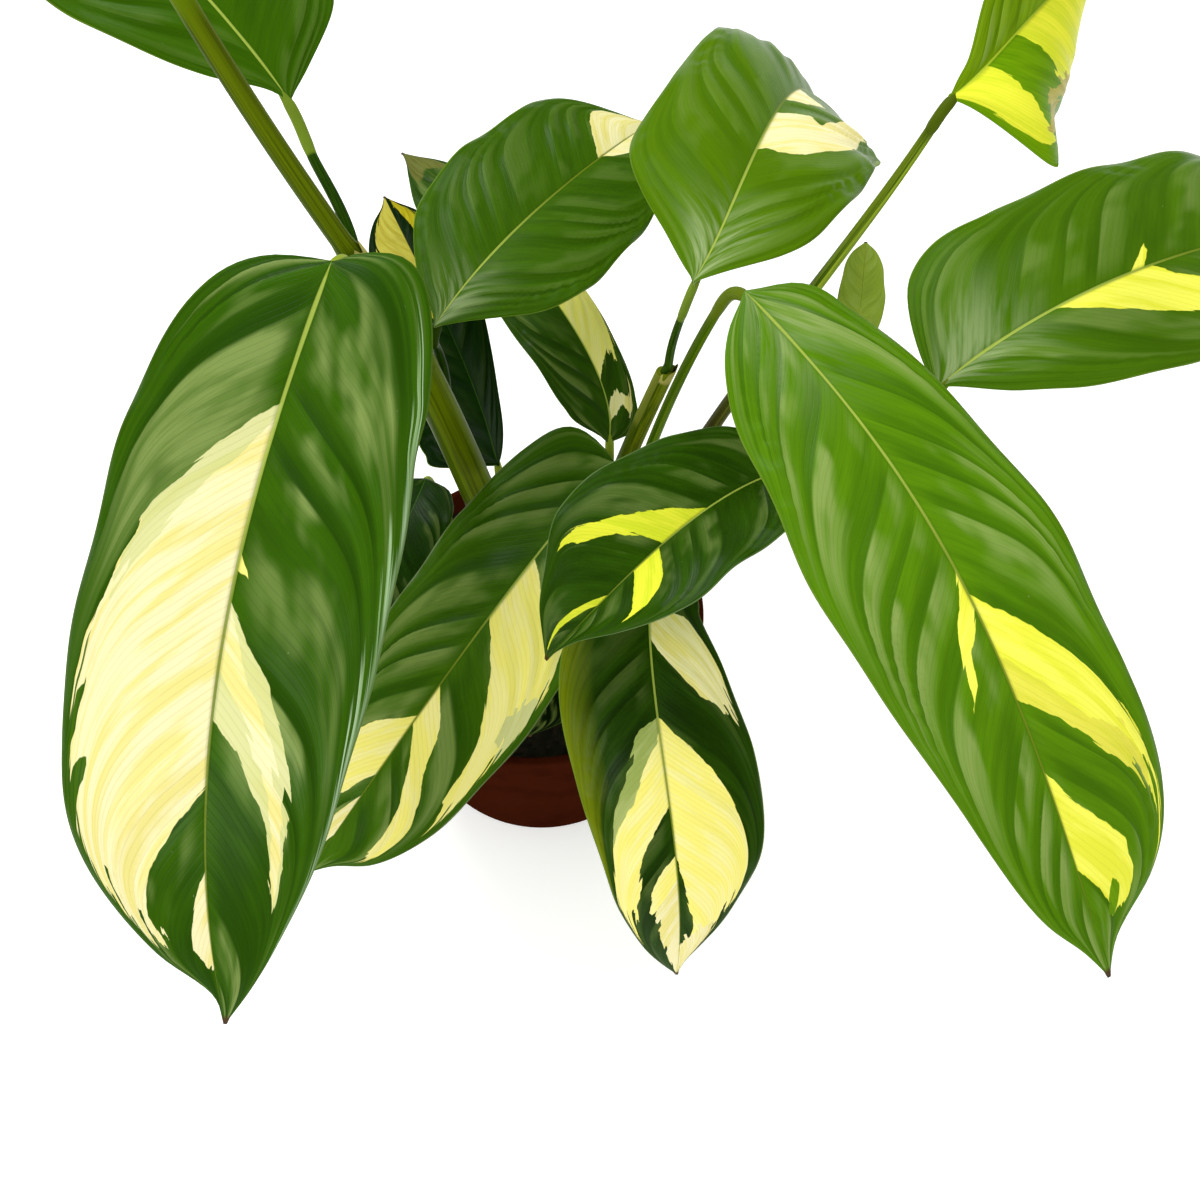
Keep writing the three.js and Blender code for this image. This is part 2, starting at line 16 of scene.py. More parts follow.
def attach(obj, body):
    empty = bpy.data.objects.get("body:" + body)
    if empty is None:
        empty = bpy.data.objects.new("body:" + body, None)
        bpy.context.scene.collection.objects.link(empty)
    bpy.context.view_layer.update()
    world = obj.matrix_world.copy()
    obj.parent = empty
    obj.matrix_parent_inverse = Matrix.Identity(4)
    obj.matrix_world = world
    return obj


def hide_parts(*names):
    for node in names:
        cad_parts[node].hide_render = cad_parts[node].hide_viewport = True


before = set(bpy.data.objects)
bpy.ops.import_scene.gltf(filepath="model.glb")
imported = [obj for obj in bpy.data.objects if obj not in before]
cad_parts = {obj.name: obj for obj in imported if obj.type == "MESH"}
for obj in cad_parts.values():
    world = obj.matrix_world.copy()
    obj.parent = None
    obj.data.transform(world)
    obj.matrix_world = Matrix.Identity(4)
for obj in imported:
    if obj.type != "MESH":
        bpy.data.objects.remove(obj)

logging.basicConfig(level=logging.INFO, format="%(message)s")
log = logging.getLogger("potted ctenanthe")

Radius = Callable[[float, float], float]
Points = tuple[tuple[float, float, float], ...]
Pairs = tuple[tuple[float, float], ...]
Stretch = tuple[Vector, Vector, Vector, Vector]

MM = 0.001
BODY = "root"
UV_MAP = "blade"

# Blades: thickness, keel under the rib, slow wave of the margin, base lobes, and the rows and
# columns of long and short leaves, whose columns stand closer beside the rib
BLADE_THICKNESS = 0.7
EDGE_THINNING = 0.6
RIB_KEEL = 1.5
KEEL_REACH = 0.08
THICKNESS_RUN = 3
POINT_HALF_WIDTH = 0.5
MARGIN_WAVES = 4.5
LOBE_REACH = 0.15
LOBE_PEAK = 6.75
SHORT_LEAF = 100
LONG_GRID = (112, 52)
SHORT_GRID = (64, 32)
COLUMN_CROWDING = 1.25
STATIONS = (0, 0.03, 0.1, 0.25, 0.45, 0.65, 0.8, 0.9, 0.955, 1)

# Side veins: a vein leaves the rib at a place and has run this much further on at a reach
VEIN_LEAN = 0.18
VEIN_SWEEP = 0.27
VEIN_POWER = 8

# Folds between the side veins: how far they are shifted on the left half and drift with the vein
LEFT_SHIFT = 0.7
DRIFT_RATE = 17
DRIFT_OWN = 3
DRIFT_SIZE = 0.35

# Height of the folds: how it grows from the rib and falls to the margin, its second wave, and
# the share, the spread and the pace along the vein, outwards and per leaf of its unevenness
FOLD_START = 0.7
FOLD_END = 7
SECOND_FOLD = 0.35
UNEVEN_MEAN = 0.7
UNEVEN_SPREAD = 0.6
UNEVEN_PACE = (6, 2, 5)

# Knees under the blades, and how deep the stalks stand in the soil
KNEE_SWELL = 1.15
KNEE_BEND = 0.42
KNEE_END_DEPTH = 1.1
KNEE_END_RADIUS = 0.9
ROOT_DEPTH = 19

# Sheaths: size, count and twist of their folds, and size, count and shift of their torn edge
SHEATH_FOLDS = ((1, 3, 2.4), (0.5, 7, -1.3))
TORN_WAVES = ((1.6, 5, 0), (1.2, 9, 1))

# Borders and ends of the pale sectors: how far they wander, their fingers and deeper notches
BORDER_WANDER = 0.016
BORDER_WAVES = 9.0
BORDER_SOFTNESS = 0.0016
HALF_CUT = 150.0
TUFTS = 52.0
TUFT_SHARE = 0.6
FINGERS = 110.0
FINGER_SHARE = 0.4
NOTCHES = 62.0
NOTCH_FROM = 0.84
NOTCH_DEPTH = 1.1

# Fine veins and the streaks along them
FINE_WOBBLE = 1.8
STREAKS = 34.0
STREAK_STRETCH = 1.6

# The rib's half width as a share of the blade's, how it narrows to the tip and flares at the base
RIB_WIDTH = 0.016
RIB_TAPER = -0.009
RIB_FLARE = 0.016

# Shares of streaks, fine lines, scars, the rib's dark border, the rib and the rim in the colour
STREAK_SHARE = 0.6
LINE_SHARE = 0.14
SCAR_SHARE = 0.5
BORDER_SHARE = 0.3
RIB_SHARE = 0.85
RIM_SHARE = 0.7

# Shares of fine lines in a pale sector, and of the veil over it on the underside
PALE_LINE_SHARE = 0.16
VEIL_SHARE = 0.45

# Shares of the stalks' painted shade: on their darker side, and dark brown at their foot
SHADE_SHARE = 0.55
FOOT_SHADE_SHARE = 0.8

# Colours that all leaves and stalks share
UNDER_GREEN = "9db36a"
UNDER_STREAKS = "6d8a3c"
UNDER_VEIL = "a3a868"
# painted highlight on the folds' crests
CREST_LIGHT = "94a85c"
# painted sheen beside the rib near the blade's base
BASE_SHEEN = "acbe88"
SCAR = "a9b98c"
FLECK = "7d5320"
TIP_BROWN = "4a3416"
STALK_SHADE = "2a4204"
# painted shade, dark brown, over the stalks' foot
FOOT_SHADE = "34260e"
TORN_END = "9c9850"

# Gloss of the undersides and of the stalks, and the roughness of both faces of a blade
UNDER_GLOSS = 0.15
STALK_GLOSS = 0.03
UNDER_ROUGHNESS = 0.55
UPPER_ROUGHNESS = 0.29

# The sky that lights the scene, and the dimmer one that the gloss mirrors
SKY = 0.75
DIM_SKY = 0.05


def shade(code: str) -> tuple[float, float, float, float]:
    """The linear colour of a six-figure colour code.

    Args:
        code: red, green and blue in hexadecimal, as they look on a screen.

    Returns:
        The linear colour with an alpha of 1.
    """
    parts = [int(code[i : i + 2], 16) / 255 for i in (0, 2, 4)]
    linear = [p / 12.92 if p <= 0.04045 else ((p + 0.055) / 1.055) ** 2.4 for p in parts]
    return (*linear, 1.0)


def blend(start: float, end: float, share: float) -> float:
    """The value at a share of the way from start to end."""
    return start + (end - start) * share


def along_pairs(pairs: Pairs, place: float) -> float:
    """The value at a place, on straight lines through (place, value) pairs in order."""
    for (at, value), (next_at, next_value) in zip(pairs, pairs[1:]):
        if place <= next_at:
            return blend(value, next_value, max(0.0, (place - at) / (next_at - at)))
    return pairs[-1][1]


def along_stations(values: tuple[float, ...], place: float) -> float:
    """A value that runs smoothly through the values given at the stations.

    Args:
        values: one value for each station along a blade.
        place: the share of the blade's length, from its base.

    Returns:
        The value at the place.
    """
    last = len(STATIONS) - 1

    def slope(i: int, j: int) -> float:
        """The mean slope between two stations."""
        return (values[j] - values[i]) / (STATIONS[j] - STATIONS[i])

    def tangent(i: int) -> float:
        """The slope at a station."""
        if i == 0:
            return slope(0, 1)
        if i == last:
            return slope(last - 1, last)
        return (slope(i - 1, i) + slope(i, i + 1)) / 2

    i = 0
    while i < last - 1 and place >= STATIONS[i + 1]:
        i += 1
    step = STATIONS[i + 1] - STATIONS[i]
    t = (place - STATIONS[i]) / step
    return (
        (2 * t**3 - 3 * t**2 + 1) * values[i]
        + (t**3 - 2 * t**2 + t) * step * tangent(i)
        + (3 * t**2 - 2 * t**3) * values[i + 1]
        + (t**3 - t**2) * step * tangent(i + 1)
    )


def stretch_through(points: Points) -> Stretch:
    """The start, the two handles and the end of the cubic curve through four even points."""
    p0, p1, p2, p3 = (Vector(p) for p in points)
    first = (-5 * p0 + 18 * p1 - 9 * p2 + 2 * p3) / 6
    second = (2 * p0 - 9 * p1 + 18 * p2 - 5 * p3) / 6
    return p0, first, second, p3


def straight(start: Vector, end: Vector) -> Stretch:
    """A straight line as a cubic stretch."""
    return start, start.lerp(end, 1 / 3), start.lerp(end, 2 / 3), end


class Path:
    """A line in space made of cubic stretches, walked by shares of its length."""

    STEPS = 120

    def __init__(self, stretches: list[Stretch]) -> None:
        """Samples stretches that each start where the one before ends."""
        self.points: list[Vector] = []
        for start, first, second, end in stretches:
            samples = interpolate_bezier(start, first, second, end, self.STEPS + 1)
            self.points += samples[1:] if self.points else samples
        self.runs = [0.0]
        for a, b in zip(self.points, self.points[1:]):
            self.runs.append(self.runs[-1] + (b - a).length)
        self.length = self.runs[-1]

    def _slope(self, i: int) -> Vector:
        """The direction at a sample."""
        before = self.points[max(0, i - 1)]
        after = self.points[min(len(self.points) - 1, i + 1)]
        return (after - before).normalized()

    def at(self, share: float) -> tuple[Vector, Vector]:
        """The point and the direction at a share of the length.

        Args:
            share: 0 at the start, 1 at the end.

        Returns:
            The point in millimetres and the direction of length 1.
        """
        run = min(max(share, 0.0), 1.0) * self.length
        low, high = 0, len(self.runs) - 1
        while high - low > 1:
            middle = (low + high) // 2
            low, high = (middle, high) if self.runs[middle] <= run else (low, middle)
        part = (run - self.runs[low]) / (self.runs[high] - self.runs[low])
        point = self.points[low].lerp(self.points[high], part)
        return point, self._slope(low).lerp(self._slope(high), part).normalized()


@dataclass(frozen=True)
class Ring:
    """One cross-section of a rod: its centre and the two directions it spans."""

    centre: Vector
    across: Vector
    over: Vector


def rings_along(path: Path, shares: list[float]) -> list[Ring]:
    """Cross-sections along a path, each carried on from the one before without a twist.

    Args:
        path: the rod's axis.
        shares: the shares of its length where the cross-sections stand.

    Returns:
        The cross-sections, in order.
    """
    rings: list[Ring] = []
    last_way, across = None, None
    for share in shares:
        point, way = path.at(share)
        if across is None:
            across = Vector((0, 1, 0)).cross(way).normalized()
        else:
            across = last_way.rotation_difference(way) @ across
        across = (across - way * across.dot(way)).normalized()
        rings.append(Ring(point, across, way.cross(across)))
        last_way = way
    return rings


@dataclass
class RodMaker:
    """Extrudes a ring of vertices along cross-sections into a closed rod.

    sides counts the vertices in a ring, and material is the index that the faces get.
    """

    bm: BMesh
    sides: int
    material: int

    def make(self, rings: list[Ring], radius: Radius) -> list[BMVert]:
        """Makes one rod, closed at both ends.

        Args:
            rings: the cross-sections.
            radius: gives the radius in millimetres at a share and an angle.

        Returns:
            The vertices of its last ring, in order.
        """
        bm, count = self.bm, len(rings) - 1
        first = bmesh.ops.create_circle(bm, segments=self.sides, radius=1.0)["verts"]
        edges = [e for e in bm.edges if set(first).issuperset(e.verts)]
        self._place(first, rings[0], 0.0, radius)
        ring, faces = list(first), []
        for i, section in enumerate(rings[1:], 1):
            before = ring
            grown = bmesh.ops.extrude_edge_only(bm, edges=edges)["geom"]
            found = {g for g in grown if isinstance(g, BMVert)}
            edges = [g for g in grown if isinstance(g, BMEdge) and set(g.verts) <= found]
            ring = self._in_order(found, before)
            self._place(ring, section, i / count, radius)
            new = [g for g in grown if isinstance(g, BMFace)]
            self._map(new, ((i - 1) / count, i / count), before, ring)
            faces += new
        faces += [bm.faces.new(list(first)), bm.faces.new(ring)]
        for face in faces:
            face.material_index = self.material
            face.smooth = True
        bmesh.ops.recalc_face_normals(bm, faces=faces)
        return ring

    @staticmethod
    def _in_order(found: set[BMVert], before: list[BMVert]) -> list[BMVert]:
        """The new vertices, each at the place of its partner in the ring before."""
        ends = [[edge.other_vert(vertex) for edge in vertex.link_edges] for vertex in before]
        return [next(other for other in others if other in found) for others in ends]

    def _place(self, ring: list[BMVert], section: Ring, share: float, radius: Radius) -> None:
        """Moves a ring's vertices to a cross-section.

        Args:
            ring: the vertices in order.
            section: where they go.
            share: the share of the rod's rings that lie before it.
            radius: gives the radius in millimetres at a share and an angle.
        """
        for i, vertex in enumerate(ring):
            turn = 2 * math.pi * i / self.sides
            reach = radius(share, turn)
            across = section.across * (reach * math.cos(turn))
            vertex.co = (section.centre + across + section.over * (reach * math.sin(turn))) * MM

    def _map(
        self,
        faces: list[BMFace],
        shares: tuple[float, float],
        before: list[BMVert],
        after: list[BMVert],
    ) -> None:
        """Lays the map of a band of faces: the share along the rod, and round it.

        Args:
            faces: the band's faces.
            shares: the shares at the band's start and end.
            before: the vertices at its start, in order.
            after: the vertices at its end, in order.
        """
        uv = self.bm.loops.layers.uv.verify()
        number = {v: i for ring in (before, after) for i, v in enumerate(ring)}
        ends = set(after)
        for face in faces:
            seam = {number[v] for v in face.verts} == {0, self.sides - 1}
            for loop in face.loops:
                turn = self.sides if seam and number[loop.vert] == 0 else number[loop.vert]
                share = shares[1] if loop.vert in ends else shares[0]
                loop[uv].uv = (share, turn / self.sides)


class Side(Enum):
    """The half of a blade, seen from above with the tip ahead."""

    LEFT = 1
    RIGHT = -1


class Tone(Enum):
    """The sectors' colours: over most of them, in their streaks and in their fine lines."""

    CREAM = ("f2eab4", "eadf88", "b4a65c")
    BUTTER = ("f8ee7c", "f9f09c", "c0b04c")
    YELLOW = ("f4f45c", "e6e840", "bcbe2c")
    LEMON = ("e4e050", "d8d840", "b0b02c")
    LIME = ("e8ea3c", "d6e030", "aabc1c")
    OLIVE = ("b8b048", "a89c34", "6c7c20")
    PALE_GREEN = ("d8d998", "d2d488", "a4a85c")
    LIGHT_GREEN = ("a9b56c", "98a858", "74883c")
    FRESH_GREEN = ("6c9806", "5e8a04", "486c04")
    MARGIN = ("7c9c64", "a0bc90", "5c7c40")
    LEAF_GREEN = ("3f6604", "2c5203", "1c3803")
    DRY = ("6a7030", "5e6024", "3a3c12")
    GOLD = ("b4a61c", "989010", "6c7008")
    # painted light shining through the blade's thin edge
    BACKLIT_GLOW = ("7c8a04", "6c7c04", "586804")


@dataclass(frozen=True)
class Sector:
    """A pale field of a blade between two side veins.

    low and high are (reach, vein) pairs: the vein that bounds the field towards the base and
    towards the tip, at each reach from the rib (0) to the margin (1). The field runs from
    from_reach to to_reach. fingers is the length of the fingers at its frayed ends, and blur
    how soft these ends are.
    """

    side: Side
    tone: Tone
    low: Pairs
    high: Pairs
    to_reach: float = 0.95
    from_reach: float = -0.1
    fingers: float = 0.035
    blur: float = 0.008


@dataclass(frozen=True)
class LeafShape:
    """A leaf's driving sizes, in millimetres and degrees, as in the solid model.

    left and right are half widths at the stations. Their slopes are taken beside the rib and at
    the margin, for the whole half or for its base and its tip.
    """

    rib: Points
    left: tuple[float, ...]
    right: tuple[float, ...]
    stalk: Points
    thick: tuple[float, float]
    left_slopes: tuple[float, ...] = (10, -15)
    right_slopes: tuple[float, ...] = (10, -15)
    seat: str = "soil"
    at_end: bool = False
    roll: tuple[float, float] = (0, 0)
    lobe: tuple[float, float] = (0, 0)
    wave: float = 1.2
    ripples: float = 9
    ripple_height: float = 1.1


@dataclass(frozen=True)
class LeafFinish:
    """A leaf's colours and shine.

    green and dark are the blade's green and that of its streaks. sheen is the share of painted
    highlight on the folds' crests, folds that of painted shade in their valleys, the field after
    folds that of painted sheen beside the rib near the base, and gloss the mirrored light. foot is
    the place up to which the stalk gets painted shade, dark brown, and veins counts the fine veins.
    """

    green: str
    dark: str
    seed: float
    rib: str = "a4b64c"
    far_rib: str = "6a7c1c"
    rim: str = "6f8f2c"
    stalk: str = "5d7414"
    knee: str = "8a9c2e"
    foot: float = 0.0
    veins: float = 80
    sheen: float = 0.36
    folds: float = 0.5
    base_sheen: float = 0.0
    gloss: float = 0.07
    slot: str = "leaf"


class NodeSheet:
    """Adds and links nodes in a material or a node group."""

    def __init__(self, tree: NodeTree) -> None:
        """Keeps the tree that the nodes go into."""
        self.tree = tree

    def feed(self, socket: NodeSocket, value: object) -> None:
        """Links a socket to another, or sets it to a plain value or a colour code."""
        if isinstance(value, NodeSocket):
            self.tree.links.new(value, socket)
        else:
            socket.default_value = shade(value) if isinstance(value, str) else value

    def add(self, kind: str, inputs: dict | None = None, **settings: object) -> Node:
        """Adds a node.

        Args:
            kind: Blender's name of the node's type.
            inputs: values or sockets for its inputs, by name or number.
            settings: its other properties.

        Returns:
            The node.
        """
        node = self.tree.nodes.new(kind)
        for name, value in settings.items():
            setattr(node, name, value)
        for name, value in (inputs or {}).items():
            self.feed(node.inputs[name], value)
        return node

    def calc(self, how: str, *values: object, clamp: bool = False) -> NodeSocket:
        """Works out one step of arithmetic.

        Args:
            how: Blender's name of the operation.
            values: sockets or numbers, in the operation's order.
            clamp: True where the result stays between 0 and 1.

        Returns:
            The socket that carries the result.
        """
        inputs = dict(enumerate(values))
        return self.add("ShaderNodeMath", inputs, operation=how, use_clamp=clamp).outputs[0]

    def times(self, first: object, *factors: object) -> NodeSocket:
        """The product of sockets and numbers."""
        for factor in factors:
            first = self.calc("MULTIPLY", first, factor)
        return first

    def line(self, value: object, slope: object, start: object) -> NodeSocket:
        """A value times a slope, plus a start."""
        return self.calc("MULTIPLY_ADD", value, slope, start)

    def step(self, value: object, low: object, high: object) -> NodeSocket:
        """A smooth step from 0 at low to 1 at high."""
        inputs = {"Value": value, "From Min": low, "From Max": high}
        return self.add("ShaderNodeMapRange", inputs, interpolation_type="SMOOTHSTEP").outputs[0]

    def tint(self, share: object, first: object, second: object) -> NodeSocket:
        """Mixes a share of the second colour into the first."""
        node = self.add("ShaderNodeMix", data_type="RGBA")
        for number, value in ((0, share), (6, first), (7, second)):
            self.feed(node.inputs[number], value)
        return node.outputs[2]

    def spot(self, x: object, y: object, z: object = 0.0) -> NodeSocket:
        """A position made of three numbers."""
        return self.add("ShaderNodeCombineXYZ", {0: x, 1: y, 2: z}).outputs[0]

    def parts_of_map(self) -> tuple[NodeSocket, NodeSocket]:
        """The two numbers of the piece's own map: along it, and across or round it."""
        whole = self.add("ShaderNodeUVMap", uv_map=UV_MAP).outputs[0]
        parts = self.add("ShaderNodeSeparateXYZ", {0: whole}).outputs
        return parts[0], parts[1]

    def cloud(self, place: object, scale: float, detail: float = 2.0) -> NodeSocket:
        """Soft noise between 0 and 1 over a position."""
        inputs = {"Vector": place, "Scale": scale, "Detail": detail, "Roughness": 0.55}
        return self.add("ShaderNodeTexNoise", inputs).outputs[0]

    def lot(self, value: object, count: float, seed: object) -> NodeSocket:
        """A random number between 0 and 1 for each of a count of equal shares of a value."""
        number = self.calc("ADD", self.calc("FLOOR", self.times(value, count)), seed)
        node = self.add("ShaderNodeTexWhiteNoise", noise_dimensions="1D")
        self.feed(node.inputs["W"], number)
        return node.outputs["Value"]

    def bound(self, reach: NodeSocket, pairs: Pairs) -> NodeSocket:
        """A sector's bounding vein as a curve over the reach.

        Args:
            reach: the distance from the rib, as a share of the half width.
            pairs: reaches and the vein's places, in order.

        Returns:
            The socket that carries the vein's place.
        """
        node = self.add("ShaderNodeFloatCurve", {"Value": reach})
        curve = node.mapping.curves[0]
        node.mapping.clip_min_y, node.mapping.clip_max_y = -1.0, 2.0
        node.mapping.extend = "HORIZONTAL"
        curve.points[0].location = pairs[0]
        curve.points[1].location = pairs[-1]
        for pair in pairs[1:-1]:
            curve.points.new(*pair)
        for point in curve.points:
            point.handle_type = "VECTOR"
        node.mapping.update()
        return node.outputs[0]

    def relief(self, skin: Node, height: NodeSocket, strength: float, distance: float) -> None:
        """Raises a shader's surface.

        Args:
            skin: the shader node.
            height: the height as a share of the distance.
            strength: how much of the relief shows.
            distance: the full height in metres.
        """
        inputs = {"Strength": strength, "Distance": distance, "Height": height}
        self.feed(skin.inputs["Normal"], self.add("ShaderNodeBump", inputs).outputs[0])

    def use(self, group: NodeTree, **inputs: object) -> dict[str, NodeSocket]:
        """Places a node group with its own values, and gives its outputs."""
        return self.add("ShaderNodeGroup", inputs, node_tree=group).outputs


class GroupSheet(NodeSheet):
    """A node group under construction, with number sockets."""

    def __init__(self, name: str, *inputs: str) -> None:
        """Makes the group.

        Args:
            name: the group's name.
            inputs: its inputs' names. take holds their sockets in this order.
        """
        super().__init__(bpy.data.node_groups.new(name, "ShaderNodeTree"))
        for label in inputs:
            self._socket(label, "INPUT")
        given = self.tree.nodes.new("NodeGroupInput").outputs
        self.take = [given[label] for label in inputs]

    def _socket(self, label: str, way: str) -> None:
        """Adds a number socket to the group."""
        self.tree.interface.new_socket(label, in_out=way, socket_type="NodeSocketFloat")

    def give(self, **results: NodeSocket) -> NodeTree:
        """Links the group's results to outputs of their names, and hands over the group."""
        for label in results:
            self._socket(label, "OUTPUT")
        self.add("NodeGroupOutput", results)
        return self.tree


def new_material(name: str) -> tuple[Material, NodeSheet, Node]:
    """A new material, the sheet for its nodes and its shader."""
    material = bpy.data.materials.new(name)
    material.use_nodes = True
    return material, NodeSheet(material.node_tree), material.node_tree.nodes["Principled BSDF"]


class LeafPatterns:
    """The node groups that all leaf skins share, each built once."""

    def __init__(self) -> None:
        """Builds the groups."""
        self.coordinates = self._coordinates()
        self.sector = self._sector()
        self.veins = self._veins()
        self.rib = self._rib()
        self.ridges = self._ridges()

    @staticmethod
    def _coordinates() -> NodeTree:
        """Where a point lies on its blade, read from the blade's own map."""
        sheet = GroupSheet("Blade coordinates", "seed")
        place, from_right = sheet.parts_of_map()
        across = sheet.line(from_right, 2.0, -1.0)
        reach = sheet.calc("ABSOLUTE", across)
        lean = sheet.times(reach, VEIN_LEAN)
        sweep = sheet.times(sheet.calc("POWER", reach, VEIN_POWER), VEIN_SWEEP)
        vein = sheet.calc("SUBTRACT", sheet.calc("SUBTRACT", place, lean), sweep)
        wander = sheet.cloud(sheet.spot(vein, across, sheet.take[0]), BORDER_WAVES)
        strip = sheet.line(wander, BORDER_WANDER, vein)
        return sheet.give(place=place, across=across, reach=reach, vein=vein, strip=strip)

    @staticmethod
    def _sector() -> NodeTree:
        """The mask of a sector between two veins, its ends frayed into fingers."""
        names = ("vein", "across", "side", "low", "high", "start", "end", "soft", "blur", "ragged")
        sheet = GroupSheet("Sector", *names)
        vein, across, side, low, high, start, end, soft, blur, ragged = sheet.take
        above = sheet.calc("DIVIDE", sheet.calc("SUBTRACT", vein, low), soft)
        below = sheet.calc("DIVIDE", sheet.calc("SUBTRACT", high, vein), soft)
        mask = sheet.calc("MINIMUM", above, below)
        on_side = sheet.times(across, side)
        frayed = sheet.calc("ADD", on_side, ragged)
        for edge in (sheet.calc("SUBTRACT", frayed, start), sheet.calc("SUBTRACT", end, frayed)):
            mask = sheet.calc("MINIMUM", mask, sheet.calc("DIVIDE", edge, blur))
        on_half = sheet.line(on_side, HALF_CUT, 0.5)
        return sheet.give(mask=sheet.calc("MINIMUM", mask, on_half, clamp=True))

    @staticmethod
    def _veins() -> NodeTree:
        """Fine parallel veins, the streaks along them, and fingers of uneven length."""
        sheet = GroupSheet("Fine veins", "vein", "across", "count", "seed")
        vein, across, count, seed = sheet.take
        wobble = sheet.cloud(sheet.spot(vein, across, seed), 2.5, 0.0)
        phase = sheet.calc("FRACT", sheet.line(wobble, FINE_WOBBLE, sheet.times(vein, count)))
        lines = sheet.step(sheet.calc("ABSOLUTE", sheet.calc("SUBTRACT", phase, 0.5)), 0.16, 0.02)
        along = sheet.spot(sheet.times(vein, STREAKS), sheet.times(across, STREAK_STRETCH), seed)
        bands = sheet.cloud(along, 1.0, 3.0)
        tufts = sheet.cloud(sheet.spot(sheet.times(vein, TUFTS), seed, 0.5), 1.0, 1.5)
        fray = sheet.times(tufts, TUFT_SHARE)
        fray = sheet.line(sheet.lot(vein, FINGERS, seed), FINGER_SHARE, fray)
        notch = sheet.calc("GREATER_THAN", sheet.lot(vein, NOTCHES, seed), NOTCH_FROM)
        return sheet.give(lines=lines, bands=bands, fray=sheet.line(notch, NOTCH_DEPTH, fray))

    @staticmethod
    def _ridges() -> NodeTree:
        """Masks of the lit crests and the dark valleys between the side veins, feathered."""
        sheet = GroupSheet("Ridges", "vein", "across", "streaks", "ripples", "seed")
        vein, across, streaks, ripples, seed = sheet.take
        own = sheet.line(sheet.calc("GREATER_THAN", across, 0.0), LEFT_SHIFT, seed)
        drift = sheet.line(own, DRIFT_OWN, sheet.times(vein, DRIFT_RATE))
        turns = sheet.line(vein, ripples, sheet.line(sheet.calc("SINE", drift), DRIFT_SIZE, own))
        share = sheet.calc("FRACT", turns)
        feathered = sheet.calc("ADD", share, sheet.line(streaks, 0.5, -0.25))
        reach = sheet.calc("ABSOLUTE", across)
        swell = sheet.times(sheet.step(reach, 0.0, 0.2), sheet.step(reach, 1.0, 0.75))
        patches = sheet.cloud(sheet.spot(sheet.times(vein, 4.0), across, own), 2.0)
        crest = sheet.times(sheet.step(feathered, 0.74, 0.3), sheet.step(share, 0.0, 0.06))
        crest = sheet.times(crest, swell, sheet.step(patches, 0.42, 0.58))
        groove = sheet.step(sheet.calc("ABSOLUTE", sheet.calc("SUBTRACT", share, 0.5)), 0.44, 0.495)
        valley = sheet.calc("MAXIMUM", sheet.step(feathered, 0.5, 1.05), groove)
        return sheet.give(crest=crest, valley=sheet.times(valley, swell))

    @staticmethod
    def _rib() -> NodeTree:
        """Masks of the rib, of its dark border, of the margin's rim and of the brown tip."""
        sheet = GroupSheet("Rib and rim", "place", "reach")
        place, reach = sheet.take
        flare = sheet.times(sheet.step(place, 0.16, 0.0), RIB_FLARE)
        wide = sheet.calc("ADD", sheet.line(place, RIB_TAPER, RIB_WIDTH), flare)
        from_rib = sheet.calc("DIVIDE", reach, wide)
        return sheet.give(
            rib=sheet.step(from_rib, 1.25, 0.6),
            border=sheet.step(from_rib, 3.0, 1.0),
            rim=sheet.step(reach, 0.982, 0.994),
            point=sheet.step(place, 0.984, 0.994),
        )


class Face(Enum):
    """The two faces of a blade."""

    UPPER = "upper"
    UNDER = "under"


